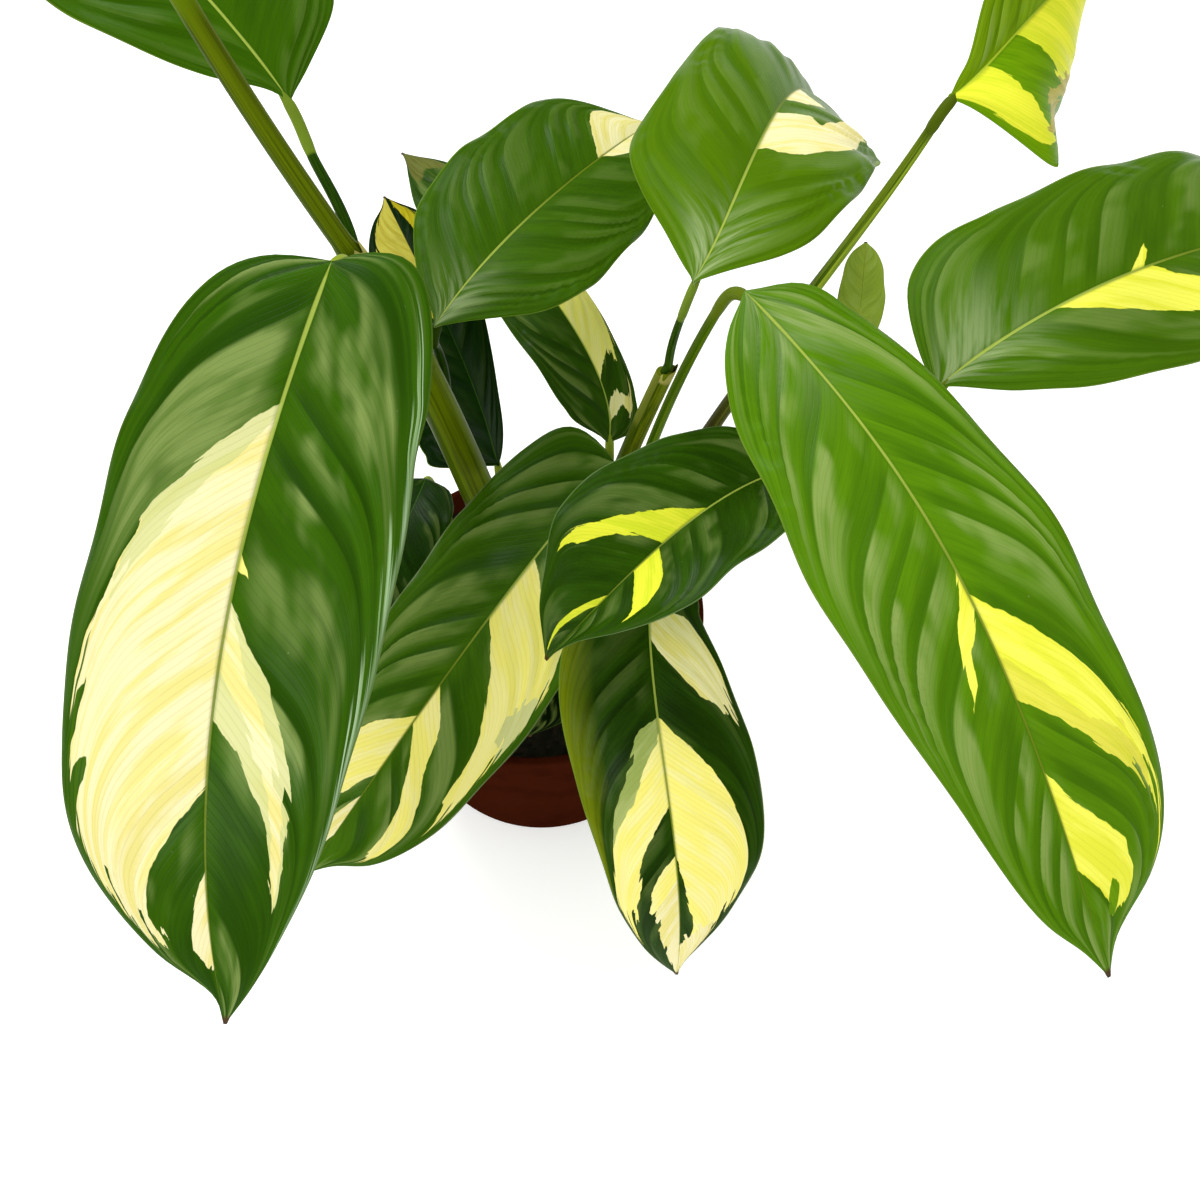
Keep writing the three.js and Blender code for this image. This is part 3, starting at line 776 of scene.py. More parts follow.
@dataclass
class LeafSkin:
    """The satin skin of a leaf: greens in bands, pale sectors, fine veins, rib and rim.

    The highlight on the folds' crests, the shade in their valleys and the sheen near the base are
    painted into the colour. ripples counts the ridges that the blade has on each half.
    """

    patterns: LeafPatterns
    name: str
    finish: LeafFinish
    sectors: tuple[Sector, ...]
    ripples: float

    def make(self, face: Face) -> Material:
        """The material of one face.

        Args:
            face: the face of the blade.

        Returns:
            The material.
        """
        finish, under = self.finish, face is Face.UNDER
        material, sheet, skin = new_material(f"{self.name}_{face.value}")
        spot = sheet.use(self.patterns.coordinates, seed=finish.seed)
        on_blade = {"vein": spot["vein"], "across": spot["across"], "seed": finish.seed}
        veins = sheet.use(self.patterns.veins, count=finish.veins, **on_blade)
        rib = sheet.use(self.patterns.rib, place=spot["place"], reach=spot["reach"])
        streaks = veins["bands"]
        ridges = sheet.use(self.patterns.ridges, streaks=streaks, ripples=self.ripples, **on_blade)

        first, second = (UNDER_GREEN, UNDER_STREAKS) if under else (finish.green, finish.dark)
        band = sheet.times(sheet.step(streaks, 0.25, 0.8), STREAK_SHARE)
        colour = sheet.tint(band, first, second)
        # Painted shade in the valleys between the folds, and painted highlight on their crests
        colour = sheet.tint(sheet.times(ridges["valley"], finish.folds), colour, second)
        streaked = sheet.line(sheet.step(streaks, 0.34, 0.6), 0.5, 0.5)
        crest = sheet.times(ridges["crest"], streaked, finish.sheen)
        colour = sheet.tint(crest, colour, CREST_LIGHT)
        # Painted sheen beside the rib near the blade's base
        near_base = sheet.step(spot["place"], 0.26, 0.04)
        near_rib = sheet.step(spot["reach"], 0.8, 0.2)
        base_sheen = sheet.times(near_base, near_rib, sheet.step(streaks, 0.36, 0.6), finish.base_sheen)
        colour = sheet.tint(base_sheen, colour, BASE_SHEEN)
        colour = sheet.tint(sheet.times(veins["lines"], LINE_SHARE), colour, finish.dark)
        fleck = self._specks(sheet, spot, 75.0, 22.0)
        scar = sheet.times(sheet.step(fleck, 0.25, 0.2), SCAR_SHARE)
        colour = sheet.tint(scar, colour, SCAR)
        for sector in self.sectors:
            mask = self._mask(sheet, spot, veins["fray"], sector)
            tint = self._sector_tint(sheet, veins, fleck, sector, under)
            colour = sheet.tint(mask, colour, tint)
        colour = sheet.tint(sheet.times(rib["border"], BORDER_SHARE), colour, finish.dark)
        far = sheet.step(spot["place"], 0.2, 0.6)
        rib_colour = sheet.tint(far, finish.rib, finish.far_rib)
        colour = sheet.tint(sheet.times(rib["rib"], RIB_SHARE), colour, rib_colour)
        colour = sheet.tint(sheet.times(rib["rim"], RIM_SHARE), colour, finish.rim)
        colour = sheet.tint(rib["point"], colour, TIP_BROWN)
        sheet.feed(skin.inputs["Base Color"], colour)

        uneven = self._specks(sheet, spot, 14.0, 5.0)
        base = UNDER_ROUGHNESS if under else UPPER_ROUGHNESS
        sheet.feed(skin.inputs["Roughness"], sheet.line(uneven, 0.12, base - 0.06))
        skin.inputs["Specular IOR Level"].default_value = UNDER_GLOSS if under else finish.gloss
        relief = sheet.line(streaks, 0.3, sheet.times(veins["lines"], -0.4))
        relief = sheet.line(rib["rib"], 2.2 if under else -1.2, relief)
        sheet.relief(skin, relief, 0.3, 0.0003)
        return material

    @staticmethod
    def _specks(sheet: NodeSheet, spot: dict, along: float, out: float) -> NodeSocket:
        """Soft noise, stretched along the side veins where along is more than out."""
        place = sheet.spot(sheet.times(spot["vein"], along), sheet.times(spot["across"], out))
        return sheet.cloud(place, 1.0)

    def _mask(self, sheet: NodeSheet, spot: dict, fray: NodeSocket, sector: Sector) -> NodeSocket:
        """The mask of one sector.

        Args:
            sheet: the material's nodes.
            spot: where a point lies on the blade.
            fray: longer and shorter fingers between the fine veins.
            sector: the sector.

        Returns:
            The socket that carries the mask.
        """
        ragged = sheet.line(fray, 2 * sector.fingers, -sector.fingers)
        reach = sheet.calc("ADD", spot["reach"], ragged)
        group = sheet.use(
            self.patterns.sector,
            vein=spot["strip"],
            across=spot["across"],
            side=float(sector.side.value),
            low=sheet.bound(reach, sector.low),
            high=sheet.bound(reach, sector.high),
            start=sector.from_reach,
            end=sector.to_reach,
            soft=max(BORDER_SOFTNESS, 0.2 * sector.blur),
            blur=sector.blur,
            ragged=ragged,
        )
        return group["mask"]

    @staticmethod
    def _sector_tint(
        sheet: NodeSheet, veins: dict, fleck: NodeSocket, sector: Sector, under: bool
    ) -> NodeSocket:
        """A sector's colour, with streaks, fine veins and a few brown flecks.

        Args:
            sheet: the material's nodes.
            veins: the vein group's outputs.
            fleck: the noise that the flecks come from.
            sector: the sector.
            under: True on the underside, where it is duller.

        Returns:
            The socket that carries the colour.
        """
        main, streak, line = sector.tone.value
        tint = sheet.tint(sheet.step(veins["bands"], 0.42, 0.62), main, streak)
        tint = sheet.tint(sheet.times(veins["lines"], PALE_LINE_SHARE), tint, line)
        tint = sheet.tint(sheet.step(fleck, 0.8, 0.83), tint, FLECK)
        return sheet.tint(VEIL_SHARE, tint, UNDER_VEIL) if under else tint


@dataclass(frozen=True)
class StalkSkin:
    """The skin of stalks and stems: long fine stripes, and a darker side away from the light.

    end is the colour of the far end, which starts at end_from, and the last field the place up to
    which the foot gets painted shade, dark brown.
    """

    name: str
    main: str
    streak: str
    end: str
    roughness: float = 0.4
    end_from: float = 0.85
    shade_to: float = 0.0

    def make(self) -> Material:
        """The material, which reads the rod's own map."""
        material, sheet, skin = new_material(self.name)
        along, around = sheet.parts_of_map()
        turn = sheet.times(around, 2 * math.pi)
        beside, over = sheet.calc("COSINE", turn), sheet.calc("SINE", turn)
        spot = sheet.spot(sheet.times(beside, 3.0), sheet.times(over, 3.0), sheet.times(along, 2.5))
        stripes = sheet.cloud(spot, 2.0, 4.0)
        colour = sheet.tint(sheet.step(stripes, 0.4, 0.66), self.main, self.streak)
        away = sheet.line(stripes, 0.8, sheet.calc("SUBTRACT", -0.55, beside))
        away = sheet.times(sheet.step(away, -0.1, 0.35), SHADE_SHARE)
        colour = sheet.tint(away, colour, STALK_SHADE)
        # Painted shade, dark brown, over the stalk's foot
        foot = sheet.times(sheet.step(along, self.shade_to, self.shade_to - 0.2), FOOT_SHADE_SHARE)
        colour = sheet.tint(foot, colour, FOOT_SHADE)
        end = sheet.step(along, self.end_from, self.end_from + 0.03)
        sheet.feed(skin.inputs["Base Color"], sheet.tint(end, colour, self.end))
        sheet.feed(skin.inputs["Roughness"], sheet.line(stripes, 0.2, self.roughness - 0.1))
        skin.inputs["Specular IOR Level"].default_value = STALK_GLOSS
        sheet.relief(skin, stripes, 0.25, 0.0004)
        return material


def piece_from(bm: BMesh, name: str, materials: list[Material]) -> Object:
    """Puts a finished mesh in the scene as an object.

    Args:
        bm: the mesh under construction, which is freed.
        name: the object's name.
        materials: its materials, by index.

    Returns:
        The object.
    """
    mesh = bpy.data.meshes.new(name)
    bm.to_mesh(mesh)
    bm.free()
    for material in materials:
        mesh.materials.append(material)
    piece = bpy.data.objects.new(name, mesh)
    bpy.context.scene.collection.objects.link(piece)
    return piece


def finish_piece(piece: Object, node: str) -> None:
    """Puts a piece on the plant's one body.

    Args:
        piece: the new object.
        node: the solid part that it stands for.
    """
    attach(piece, BODY)
    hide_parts(node)
    log.info("%s: %d faces", piece.name, len(piece.data.polygons))


def spin_line(bm: BMesh, line: list[tuple[float, float]], steps: int) -> None:
    """Turns a line once round the upright axis.

    Args:
        bm: the mesh under construction.
        line: radii and heights in millimetres, in order.
        steps: how many steps the turn has.
    """
    points = [bm.verts.new((radius * MM, 0, height * MM)) for radius, height in line]
    edges = [bm.edges.new(pair) for pair in zip(points, points[1:])]
    bmesh.ops.spin(
        bm,
        geom=points + edges,
        cent=(0, 0, 0),
        axis=(0, 0, 1),
        angle=2 * math.pi,
        steps=steps,
        use_merge=True,
    )


@dataclass
class Stem:
    """A stem wrapped in its sheaths: four points of each stretch of its axis, and its radii.

    sheath holds the shares of the axis where the topmost sheath starts and ends, and torn is how
    far its edge rises on one side, in millimetres.
    """

    name: str
    parts: tuple[Points, ...]
    radii: Pairs
    skin: StalkSkin
    sheath: tuple[float, float] = (0.7, 1.0)
    sides: int = 28
    steps: int = 150
    sheath_steps: int = 24
    fold: float = 0.05
    fold_end: float = 0.68
    torn: float = 3.5

    def path(self) -> Path:
        """The stem's axis, from the end of its root."""
        stretches = [stretch_through(part) for part in self.parts]
        start, first = stretches[0][0], stretches[0][1]
        foot = start - (first - start).normalized() * ROOT_DEPTH
        return Path([straight(foot, start), *stretches])

    def build(self) -> None:
        """Makes the stem and dresses it."""
        path = self.path()
        shares = [i / self.steps for i in range(self.steps + 1)]

        def radius(share: float, turn: float) -> float:
            """The radius, with shallow folds where one sheath laps over the next."""
            folds = sum(
                size * math.cos(count * turn + twist * share) for size, count, twist in SHEATH_FOLDS
            )
            thin = max(0.0, 1 - share / self.fold_end)
            return along_pairs(self.radii, share) * (1 + self.fold * (0.2 + thin) * folds)

        bm = bmesh.new()
        bm.loops.layers.uv.new(UV_MAP)
        RodMaker(bm, self.sides, 0).make(rings_along(path, shares), radius)
        self._sheath(bm, path)
        skin = self.skin
        dry = StalkSkin(
            f"{self.name}_sheath", skin.main, skin.streak, TORN_END, roughness=0.6, end_from=0.94
        )
        piece = piece_from(bm, f"{self.name}_fine", [skin.make(), dry.make()])
        finish_piece(piece, self.name)

    def _sheath(self, bm: BMesh, path: Path) -> None:
        """Wraps the last leaf base round the stem, with a torn and dried upper edge.

        Args:
            bm: the stem under construction.
            path: the stem's axis.
        """
        low, high = self.sheath
        shares = [blend(low, high, i / self.sheath_steps) for i in range(self.sheath_steps + 1)]

        def radius(share: float, turn: float) -> float:
            """The radius: just inside the stem at the left, and outside it at the right."""
            wrap = 0.5 * math.cos(turn + 0.5) - 0.05
            return along_pairs(self.radii, blend(low, high, share)) * 1.01 + wrap * share

        last = RodMaker(bm, self.sides, 1).make(rings_along(path, shares), radius)
        way = path.at(high)[1]
        for i, vertex in enumerate(last):
            turn = 2 * math.pi * i / self.sides
            torn = sum(size * math.sin(count * turn + shift) for size, count, shift in TORN_WAVES)
            lift = self.torn * math.cos(turn + 0.3) + torn
            vertex.co += way * (max(-1.0, lift) * MM)


@dataclass
class Leaf:
    """A leaf: a blade with its rib, veins and sectors, its knee and its stalk."""

    name: str
    shape: LeafShape
    finish: LeafFinish
    sectors: tuple[Sector, ...]
    patterns: LeafPatterns
    stem: Stem | None = None
    stalk_sides: int = 18
    stalk_steps: int = 46
    knee_steps: int = 18
    rib_path: Path = field(init=False)
    heading: Vector = field(init=False)

    def __post_init__(self) -> None:
        """Prepares the rib's path and the way from its base to its tip."""
        self.rib_path = Path([stretch_through(self.shape.rib)])
        self.heading = Vector(self.shape.rib[3]) - Vector(self.shape.rib[0])

    def rib_frame(self, place: float) -> tuple[Vector, Vector, Vector, Vector]:
        """The blade's frame at a place along its rib.

        Args:
            place: the share of the rib's length, from its base.

        Returns:
            The point, the way ahead, to the left and up.
        """
        point, ahead = self.rib_path.at(place)
        left = Vector((0, 0, 1)).cross(self.heading)
        left = (left - ahead * left.dot(ahead)).normalized()
        roll = math.radians(blend(*self.shape.roll, place))
        left = Quaternion(ahead, roll) @ left
        return point, ahead, left, ahead.cross(left)

    def blade_point(self, place: float, across: float, depth: float) -> Vector:
        """A point of the blade.

        Args:
            place: the share of the rib's length, from its base.
            across: from -1, the right margin, to 1, the left.
            depth: how far below the upper face it lies, in millimetres.

        Returns:
            The point in millimetres.
        """
        shape, reach = self.shape, abs(across)
        point, ahead, left, up = self.rib_frame(place)
        if across < 0:
            widths, slopes, lobe, phase = shape.right, shape.right_slopes, shape.lobe[1], 0
        else:
            widths, slopes, lobe, phase = shape.left, shape.left_slopes, shape.lobe[0], math.pi / 2
        rise, fall, tip_rise, tip_fall = slopes if len(slopes) == 4 else slopes * 2
        start = math.radians(blend(rise, tip_rise, place))
        turn = math.radians(blend(fall, tip_fall, place)) - start
        width = max(along_stations(widths, place), POINT_HALF_WIDTH)
        end = start + turn * reach
        outward = width * (math.sin(end) - math.sin(start)) / turn
        upward = width * (math.cos(start) - math.cos(end)) / turn
        along = min(1.0, place / LOBE_REACH)
        set_back = lobe * reach * LOBE_PEAK * along * (1 - along) ** 2
        fade = min(1.0, width / max(widths))
        wave = shape.wave * reach**3 * math.sin(2 * math.pi * MARGIN_WAVES * place + phase)
        upward += fade * (wave + self._ripple(place, reach, across))
        lean = end * min(1.0, width * reach / THICKNESS_RUN)
        beside = outward + depth * math.sin(lean)
        side = math.copysign(beside, across) if across else 0.0
        above = upward - depth * math.cos(lean)
        return point - ahead * set_back + left * side + up * above

    def _ripple(self, place: float, reach: float, across: float) -> float:
        """The soft corrugation between side veins, in millimetres."""
        vein = place - VEIN_LEAN * reach - VEIN_SWEEP * reach**VEIN_POWER
        own = self.finish.seed + (LEFT_SHIFT if across > 0 else 0.0)
        drift = DRIFT_SIZE * math.sin(DRIFT_RATE * vein + DRIFT_OWN * own)
        turns = self.shape.ripples * vein + drift + own
        swell = reach**FOLD_START * (1 - reach**FOLD_END)
        spot = Vector(a * pace for a, pace in zip((vein, reach, own), UNEVEN_PACE))
        uneven = UNEVEN_MEAN + UNEVEN_SPREAD * noise(spot)
        profile = math.sin(2 * math.pi * turns) + SECOND_FOLD * math.sin(4 * math.pi * turns)
        return self.shape.ripple_height * swell * uneven * profile

    def build(self) -> None:
        """Makes the leaf and dresses it."""
        bm = bmesh.new()
        bm.loops.layers.uv.new(UV_MAP)
        self._blade(bm)
        self._stalk(bm)
        finish = self.finish
        skin = LeafSkin(self.patterns, self.name, finish, self.sectors, self.shape.ripples)
        stalk = StalkSkin(
            f"{self.name}_stalk",
            finish.stalk,
            finish.dark,
            finish.knee,
            end_from=self.stalk_steps / (self.stalk_steps + self.knee_steps) - 0.02,
            shade_to=finish.foot,
        )
        materials = [skin.make(Face.UPPER), skin.make(Face.UNDER), stalk.make()]
        finish_piece(piece_from(bm, f"{self.name}_fine", materials), self.name)

    def _blade(self, bm: BMesh) -> None:
        """Makes the blade from a grid, thickened downwards, with a keel under the rib."""
        at_place = bm.verts.layers.float.new("place")
        at_across = bm.verts.layers.float.new("across")
        rows, columns = SHORT_GRID if self.rib_path.length < SHORT_LEAF else LONG_GRID
        bmesh.ops.create_grid(bm, x_segments=rows, y_segments=columns, size=1.0)
        for vertex in bm.verts:
            out = vertex.co.y
            vertex[at_place] = (vertex.co.x + 1) / 2
            vertex[at_across] = math.copysign(abs(out) ** COLUMN_CROWDING, out)
        upper = list(bm.faces)
        grown = set(bmesh.ops.extrude_face_region(bm, geom=upper, use_keep_orig=True)["geom"])
        for vertex in bm.verts:
            place, across = vertex[at_place], vertex[at_across]
            depth = 0.0
            if vertex in grown:
                bulge = max(0.0, 1 - (abs(across) / KEEL_REACH) ** 2)
                edge = 1 - EDGE_THINNING * abs(across) ** 12
                depth = BLADE_THICKNESS * edge + RIB_KEEL * (1 - place) * bulge
            vertex.co = self.blade_point(place, across, depth) * MM
        uv = bm.loops.layers.uv[UV_MAP]
        for face in bm.faces:
            face.smooth = True
            face.material_index = int(face in grown)
            for loop in face.loops:
                loop[uv].uv = (loop.vert[at_place], 0.5 + 0.5 * loop.vert[at_across])
        bmesh.ops.recalc_face_normals(bm, faces=list(bm.faces))

    def stalk_path(self) -> tuple[Path, float]:
        """The stalk's axis.

        Returns:
            The path from the foot to the end of the knee, and the share where the knee starts.
        """
        shape = self.shape
        stalk = stretch_through(shape.stalk)
        base, ahead, _, up = self.rib_frame(STATIONS[1])
        base = base - up * KNEE_END_DEPTH
        knee = stalk[3]
        bend = (base - knee).length * KNEE_BEND
        rising = knee + (knee - stalk[2]).normalized() * bend
        stretches = [stalk, (knee, rising, base - ahead * bend, base)]
        if shape.seat == "soil":
            foot = stalk[0] - (stalk[1] - stalk[0]).normalized() * ROOT_DEPTH
            stretches.insert(0, straight(foot, stalk[0]))
        if shape.at_end:
            end, way = self.stem.path().at(1.0)
            stretches.insert(0, straight(end - way, stalk[0]))
        path = Path(stretches)
        return path, 1 - Path(stretches[-1:]).length / path.length

    def _stalk(self, bm: BMesh) -> None:
        """Makes the stalk and the swollen knee under the blade."""
        path, knee = self.stalk_path()
        foot, top = self.shape.thick
        swollen = top * KNEE_SWELL
        radii = (
            (0, foot),
            (knee, top),
            (blend(knee, 1, 0.15), swollen),
            (blend(knee, 1, 0.7), swollen),
            (1, KNEE_END_RADIUS),
        )
        shares = [knee * i / self.stalk_steps for i in range(self.stalk_steps)]
        shares += [blend(knee, 1, i / self.knee_steps) for i in range(self.knee_steps + 1)]
        count = len(shares) - 1

        def radius(share: float, turn: float) -> float:
            """The radius at a ring, a little flattened on the upper side."""
            place = shares[round(share * count)]
            return along_pairs(radii, place) * (1 - 0.05 * math.cos(turn) ** 4)

        RodMaker(bm, self.stalk_sides, 2).make(rings_along(path, shares), radius)


@dataclass
class Pot:
    """The plastic nursery pot, turned from its profile, with a ring of drain holes.

    A shallow groove runs round its wall a little above the foot. Level faces below flat_below
    are shaded flat.
    """

    height: float = 103
    rim: float = 70.5
    foot: float = 57
    wall: float = 1.8
    floor: float = 2.4
    lip_width: float = 1.2
    lip_height: float = 5
    edge: float = 0.8
    groove: tuple[float, float, float, float] = (9, 9.4, 10.4, 10.8)
    groove_depth: float = 0.35
    drains: int = 8
    drain: float = 4
    drain_circle: float = 30
    drain_steps: int = 24
    steps: int = 128
    level: float = 0.9
    flat_below: float = 50

    def radius_at(self, height: float) -> float:
        """The wall's outside radius at a height, in millimetres."""
        return blend(self.foot, self.rim - self.lip_width, height / self.height)

    def profile(self) -> list[tuple[float, float]]:
        """Radius and height along the wall: up its outside, over the lip, down its inside."""
        top, edge, rim, foot = self.height, self.edge, self.rim, self.foot
        lip = top - self.lip_height
        cuts = (0, self.groove_depth, self.groove_depth, 0)
        groove = [(self.radius_at(at) - cut, at) for at, cut in zip(self.groove, cuts)]
        return [
            (foot - edge, 0),
            (foot - 0.3 * edge, 0.3 * edge),
            (foot, edge),
            *groove,
            (self.radius_at(lip - 1), lip - 1),
            (self.radius_at(lip), lip),
            (rim - 0.7 * edge, lip + 0.4 * edge),
            (rim - 0.3 * edge, lip + edge),
            (rim, top - edge),
            (rim - 0.3 * edge, top - 0.3 * edge),
            (rim - edge, top),
            (self.radius_at(top) - self.wall, top),
            (self.radius_at(self.floor) - self.wall, self.floor),
        ]

    def build(self) -> None:
        """Makes the pot and dresses it."""
        bm = bmesh.new()
        spin_line(bm, self.profile(), self.steps)
        rims = [e for e in bm.edges if e.is_boundary]
        middle = 0.5 * self.floor * MM
        self._floor(bm, [e for e in rims if e.verts[0].co.z < middle], 0)
        self._floor(bm, [e for e in rims if e.verts[0].co.z > middle], self.floor)
        holes = [e for e in bm.edges if e.is_boundary]
        bmesh.ops.bridge_loops(bm, edges=holes, use_pairs=True)
        bmesh.ops.recalc_face_normals(bm, faces=list(bm.faces))
        for face in bm.faces:
            high = face.calc_center_median().z > self.flat_below * MM
            face.smooth = high or abs(face.normal.z) < self.level
        finish_piece(piece_from(bm, "pot_fine", [self._plastic()]), "pot")

    def _floor(self, bm: BMesh, outline: list[BMEdge], height: float) -> None:
        """Fills one face of the pot's floor round its drain holes.

        Args:
            bm: the pot under construction.
            outline: the wall's edges at that face.
            height: the face's height in millimetres.
        """
        edges = list(outline)
        for i in range(self.drains):
            turn = 2 * math.pi * (i + 0.5) / self.drains
            made = bmesh.ops.create_circle(bm, segments=self.drain_steps, radius=self.drain * MM)
            ring = made["verts"]
            place = (self.drain_circle * math.cos(turn), self.drain_circle * math.sin(turn), height)
            bmesh.ops.translate(bm, verts=ring, vec=Vector(place) * MM)
            edges += list({e for v in ring for e in v.link_edges})
        bmesh.ops.triangle_fill(bm, edges=edges, use_beauty=True, use_dissolve=False)

    @staticmethod
    def _plastic() -> Material:
        """Smooth dull terracotta plastic, painted dark brown as shade under the leaves, with a little
        soil dust.
        """
        material, sheet, skin = new_material("pot_plastic")
        spot = sheet.add("ShaderNodeTexCoord").outputs["Object"]
        dust = sheet.cloud(spot, 60.0, 5.0)
        # Both browns are darkened far below terracotta to paint the shade beneath the leaves
        colour = sheet.tint(sheet.step(dust, 0.45, 0.75), "381408", "301006")
        sheet.feed(skin.inputs["Base Color"], colour)
        sheet.feed(skin.inputs["Roughness"], sheet.line(dust, 0.2, 0.4))
        skin.inputs["Specular IOR Level"].default_value = 0.0
        sheet.relief(skin, sheet.cloud(spot, 900.0), 0.15, 0.0002)
        return material


@dataclass
class Soil:
    """The potting soil: a crumbly surface inside the pot, and the body below it.

    Sizes are in millimetres. The surface stays level over still_rim beside the wall.
    """

    pot: Pot
    drop: float = 10
    lump: float = 1.3
    gap: float = 0.3
    rings: int = 64
    steps: int = 160
    lump_lengths: tuple[float, float, float] = (7.1, 6.3, 11.7)
    grain_lengths: tuple[float, float] = (3.2, 1.3)
    crumbs: int = 420
    crumb_turn: float = 2.39996
    crumb_sizes: tuple[float, float] = (0.8, 2.6)
    crumb_flatness: float = 0.6
    crumb_margin: float = 4
    crumb_lift: float = 0.1
    still_rim: float = 0.5

    def height_at(self, x: float, y: float) -> float:
        """The surface's height over a place, in millimetres."""
        first, second, third = self.lump_lengths
        lumps = math.sin(x / first + 0.6) * math.cos(y / second) + math.sin((x + y) / third - 1.1)
        top = self.pot.height - self.drop
        coarse, fine = self.grain_lengths
        rough = noise(Vector((x / coarse, y / coarse, 0.3)))
        rough += 0.6 * noise(Vector((x / fine, y / fine, 4)))
        return top + self.lump * 0.5 * lumps + 0.8 * rough

    def build(self) -> None:
        """Makes the soil and dresses it."""
        top = self.pot.height - self.drop
        bottom = self.pot.floor + self.gap
        wide, narrow = (
            self.pot.radius_at(height) - self.pot.wall - self.gap for height in (top, bottom)
        )
        bm = bmesh.new()
        surface = [(wide * ring / self.rings, top) for ring in range(self.rings, -1, -1)]
        spin_line(bm, [(0, bottom), (narrow, bottom), *surface], self.steps)
        bmesh.ops.remove_doubles(bm, verts=list(bm.verts), dist=1e-6)
        for vertex in bm.verts:
            x, y, z = vertex.co / MM
            if z > (bottom + top) / 2 and math.hypot(x, y) < wide - self.still_rim:
                vertex.co.z = self.height_at(x, y) * MM
        for number in range(self.crumbs):
            self._crumb(bm, number, wide)
        bmesh.ops.recalc_face_normals(bm, faces=list(bm.faces))
        for face in bm.faces:
            face.smooth = False
        finish_piece(piece_from(bm, "soil_fine", [self._earth()]), "soil")

    def _crumb(self, bm: BMesh, number: int, wide: float) -> None:
        """Adds one crumb, sunk a little into the surface.

        Args:
            bm: the soil under construction.
            number: the crumb's number, which sets its place and size.
            wide: the surface's radius in millimetres.
        """
        turn = number * self.crumb_turn
        far = (wide - self.crumb_margin) * math.sqrt((number + 0.5) / self.crumbs)
        x, y = far * math.cos(turn), far * math.sin(turn)
        smallest, spread = self.crumb_sizes
        size = smallest + spread * abs(noise(Vector((number * 1.7, 0.5, 0.2))))
        made = bmesh.ops.create_icosphere(bm, subdivisions=1, radius=size * MM)["verts"]
        for vertex in made:
            push = 1 + 0.5 * noise(vertex.co / MM * 0.9 + Vector((number, 0, 0)))
            vertex.co = vertex.co * push
            vertex.co.z *= self.crumb_flatness
        spot = Vector((x, y, self.height_at(x, y) + self.crumb_lift))
        bmesh.ops.translate(bm, verts=made, vec=spot * MM)

    @staticmethod
    def _earth() -> Material:
        """Dark damp peat with lighter fibres, darkened near black as painted shade inside the pot."""
        material, sheet, skin = new_material("soil")
        spot = sheet.add("ShaderNodeTexCoord").outputs["Object"]
        clumps = sheet.cloud(spot, 260.0, 5.0)
        # Peat browns darkened near black, also painting the deep shade inside the pot
        colour = sheet.tint(sheet.step(clumps, 0.4, 0.68), "0b0704", "1d1208")
        fibres = sheet.step(sheet.cloud(spot, 700.0), 0.68, 0.74)
        colour = sheet.tint(sheet.times(fibres, 0.5), colour, "3f2c18")
        sheet.feed(skin.inputs["Base Color"], colour)
        skin.inputs["Roughness"].default_value = 0.95
        sheet.relief(skin, clumps, 0.8, 0.001)
        return material


@dataclass
class Studio:
    """Camera, floor and soft light."""

    eye: tuple[float, float, float] = (0.027, -0.311, 0.650)
    tilt: float = 30.0
    lens: float = 45.0
    sensor: float = 36.0

    def build(self) -> None:
        """Makes the floor, the lights and the camera."""
        scene = bpy.context.scene
        scene.view_settings.view_transform = "Standard"
        scene.view_settings.look = "None"
        self._camera()
        self._floor()
        world = scene.world or bpy.data.worlds.new("studio")
        scene.world = world
        world.use_nodes = True
        sheet = NodeSheet(world.node_tree)
        mirrored = sheet.add("ShaderNodeLightPath").outputs["Is Glossy Ray"]
        sky = world.node_tree.nodes["Background"]
        sky.inputs["Color"].default_value = (1.0, 1.0, 1.0, 1.0)
        sheet.feed(sky.inputs["Strength"], sheet.line(mirrored, DIM_SKY - SKY, SKY))
        self._lamp("back_window", (-0.5, 1.3, 1.9), target=(0, 0, 0.3), size=1.1, power=25)
        self._lamp("front_window", (-0.9, -1.2, 2.0), target=(0, 0, 0.2), size=1.2, power=17)

    def _camera(self) -> None:
        """Makes the camera at the photograph's angle."""
        data = bpy.data.cameras.new("camera")
        data.lens = self.lens
        data.sensor_width = self.sensor
        data.sensor_fit = "HORIZONTAL"
        data.clip_start = 0.01
        data.clip_end = 20
        camera = bpy.data.objects.new("camera", data)
        camera.location = self.eye
        camera.rotation_euler = (math.radians(self.tilt), 0, 0)
        bpy.context.scene.collection.objects.link(camera)
        bpy.context.scene.camera = camera

    @staticmethod
    def _floor() -> None:
        """Makes the plain pale floor."""
        bm = bmesh.new()
        bmesh.ops.create_grid(bm, x_segments=1, y_segments=1, size=6.0)
        material, _, skin = new_material("floor")
        skin.inputs["Base Color"].default_value = (0.93, 0.93, 0.93, 1)
        skin.inputs["Roughness"].default_value = 0.9
        skin.inputs["Specular IOR Level"].default_value = 0.0
        skin.inputs["Emission Color"].default_value = (1, 1, 1, 1)
        skin.inputs["Emission Strength"].default_value = 0.3
        piece_from(bm, "floor", [material])

    @staticmethod
    def _lamp(
        name: str,
        place: tuple[float, float, float],
        target: tuple[float, float, float],
        size: float,
        power: float,
    ) -> None:
        """Makes one soft lamp.

        Args:
            name: its name.
            place: where it hangs, in metres.
            target: where it points.
            size: its width in metres.
            power: its power in watts.
        """
        data = bpy.data.lights.new(name, "AREA")
        data.shape = "DISK"
        data.size = size
        data.energy = power
        lamp = bpy.data.objects.new(name, data)
        lamp.location = place
        way = Vector(target) - Vector(place)
        lamp.rotation_euler = way.to_track_quat("-Z", "Y").to_euler()
        bpy.context.scene.collection.objects.link(lamp)


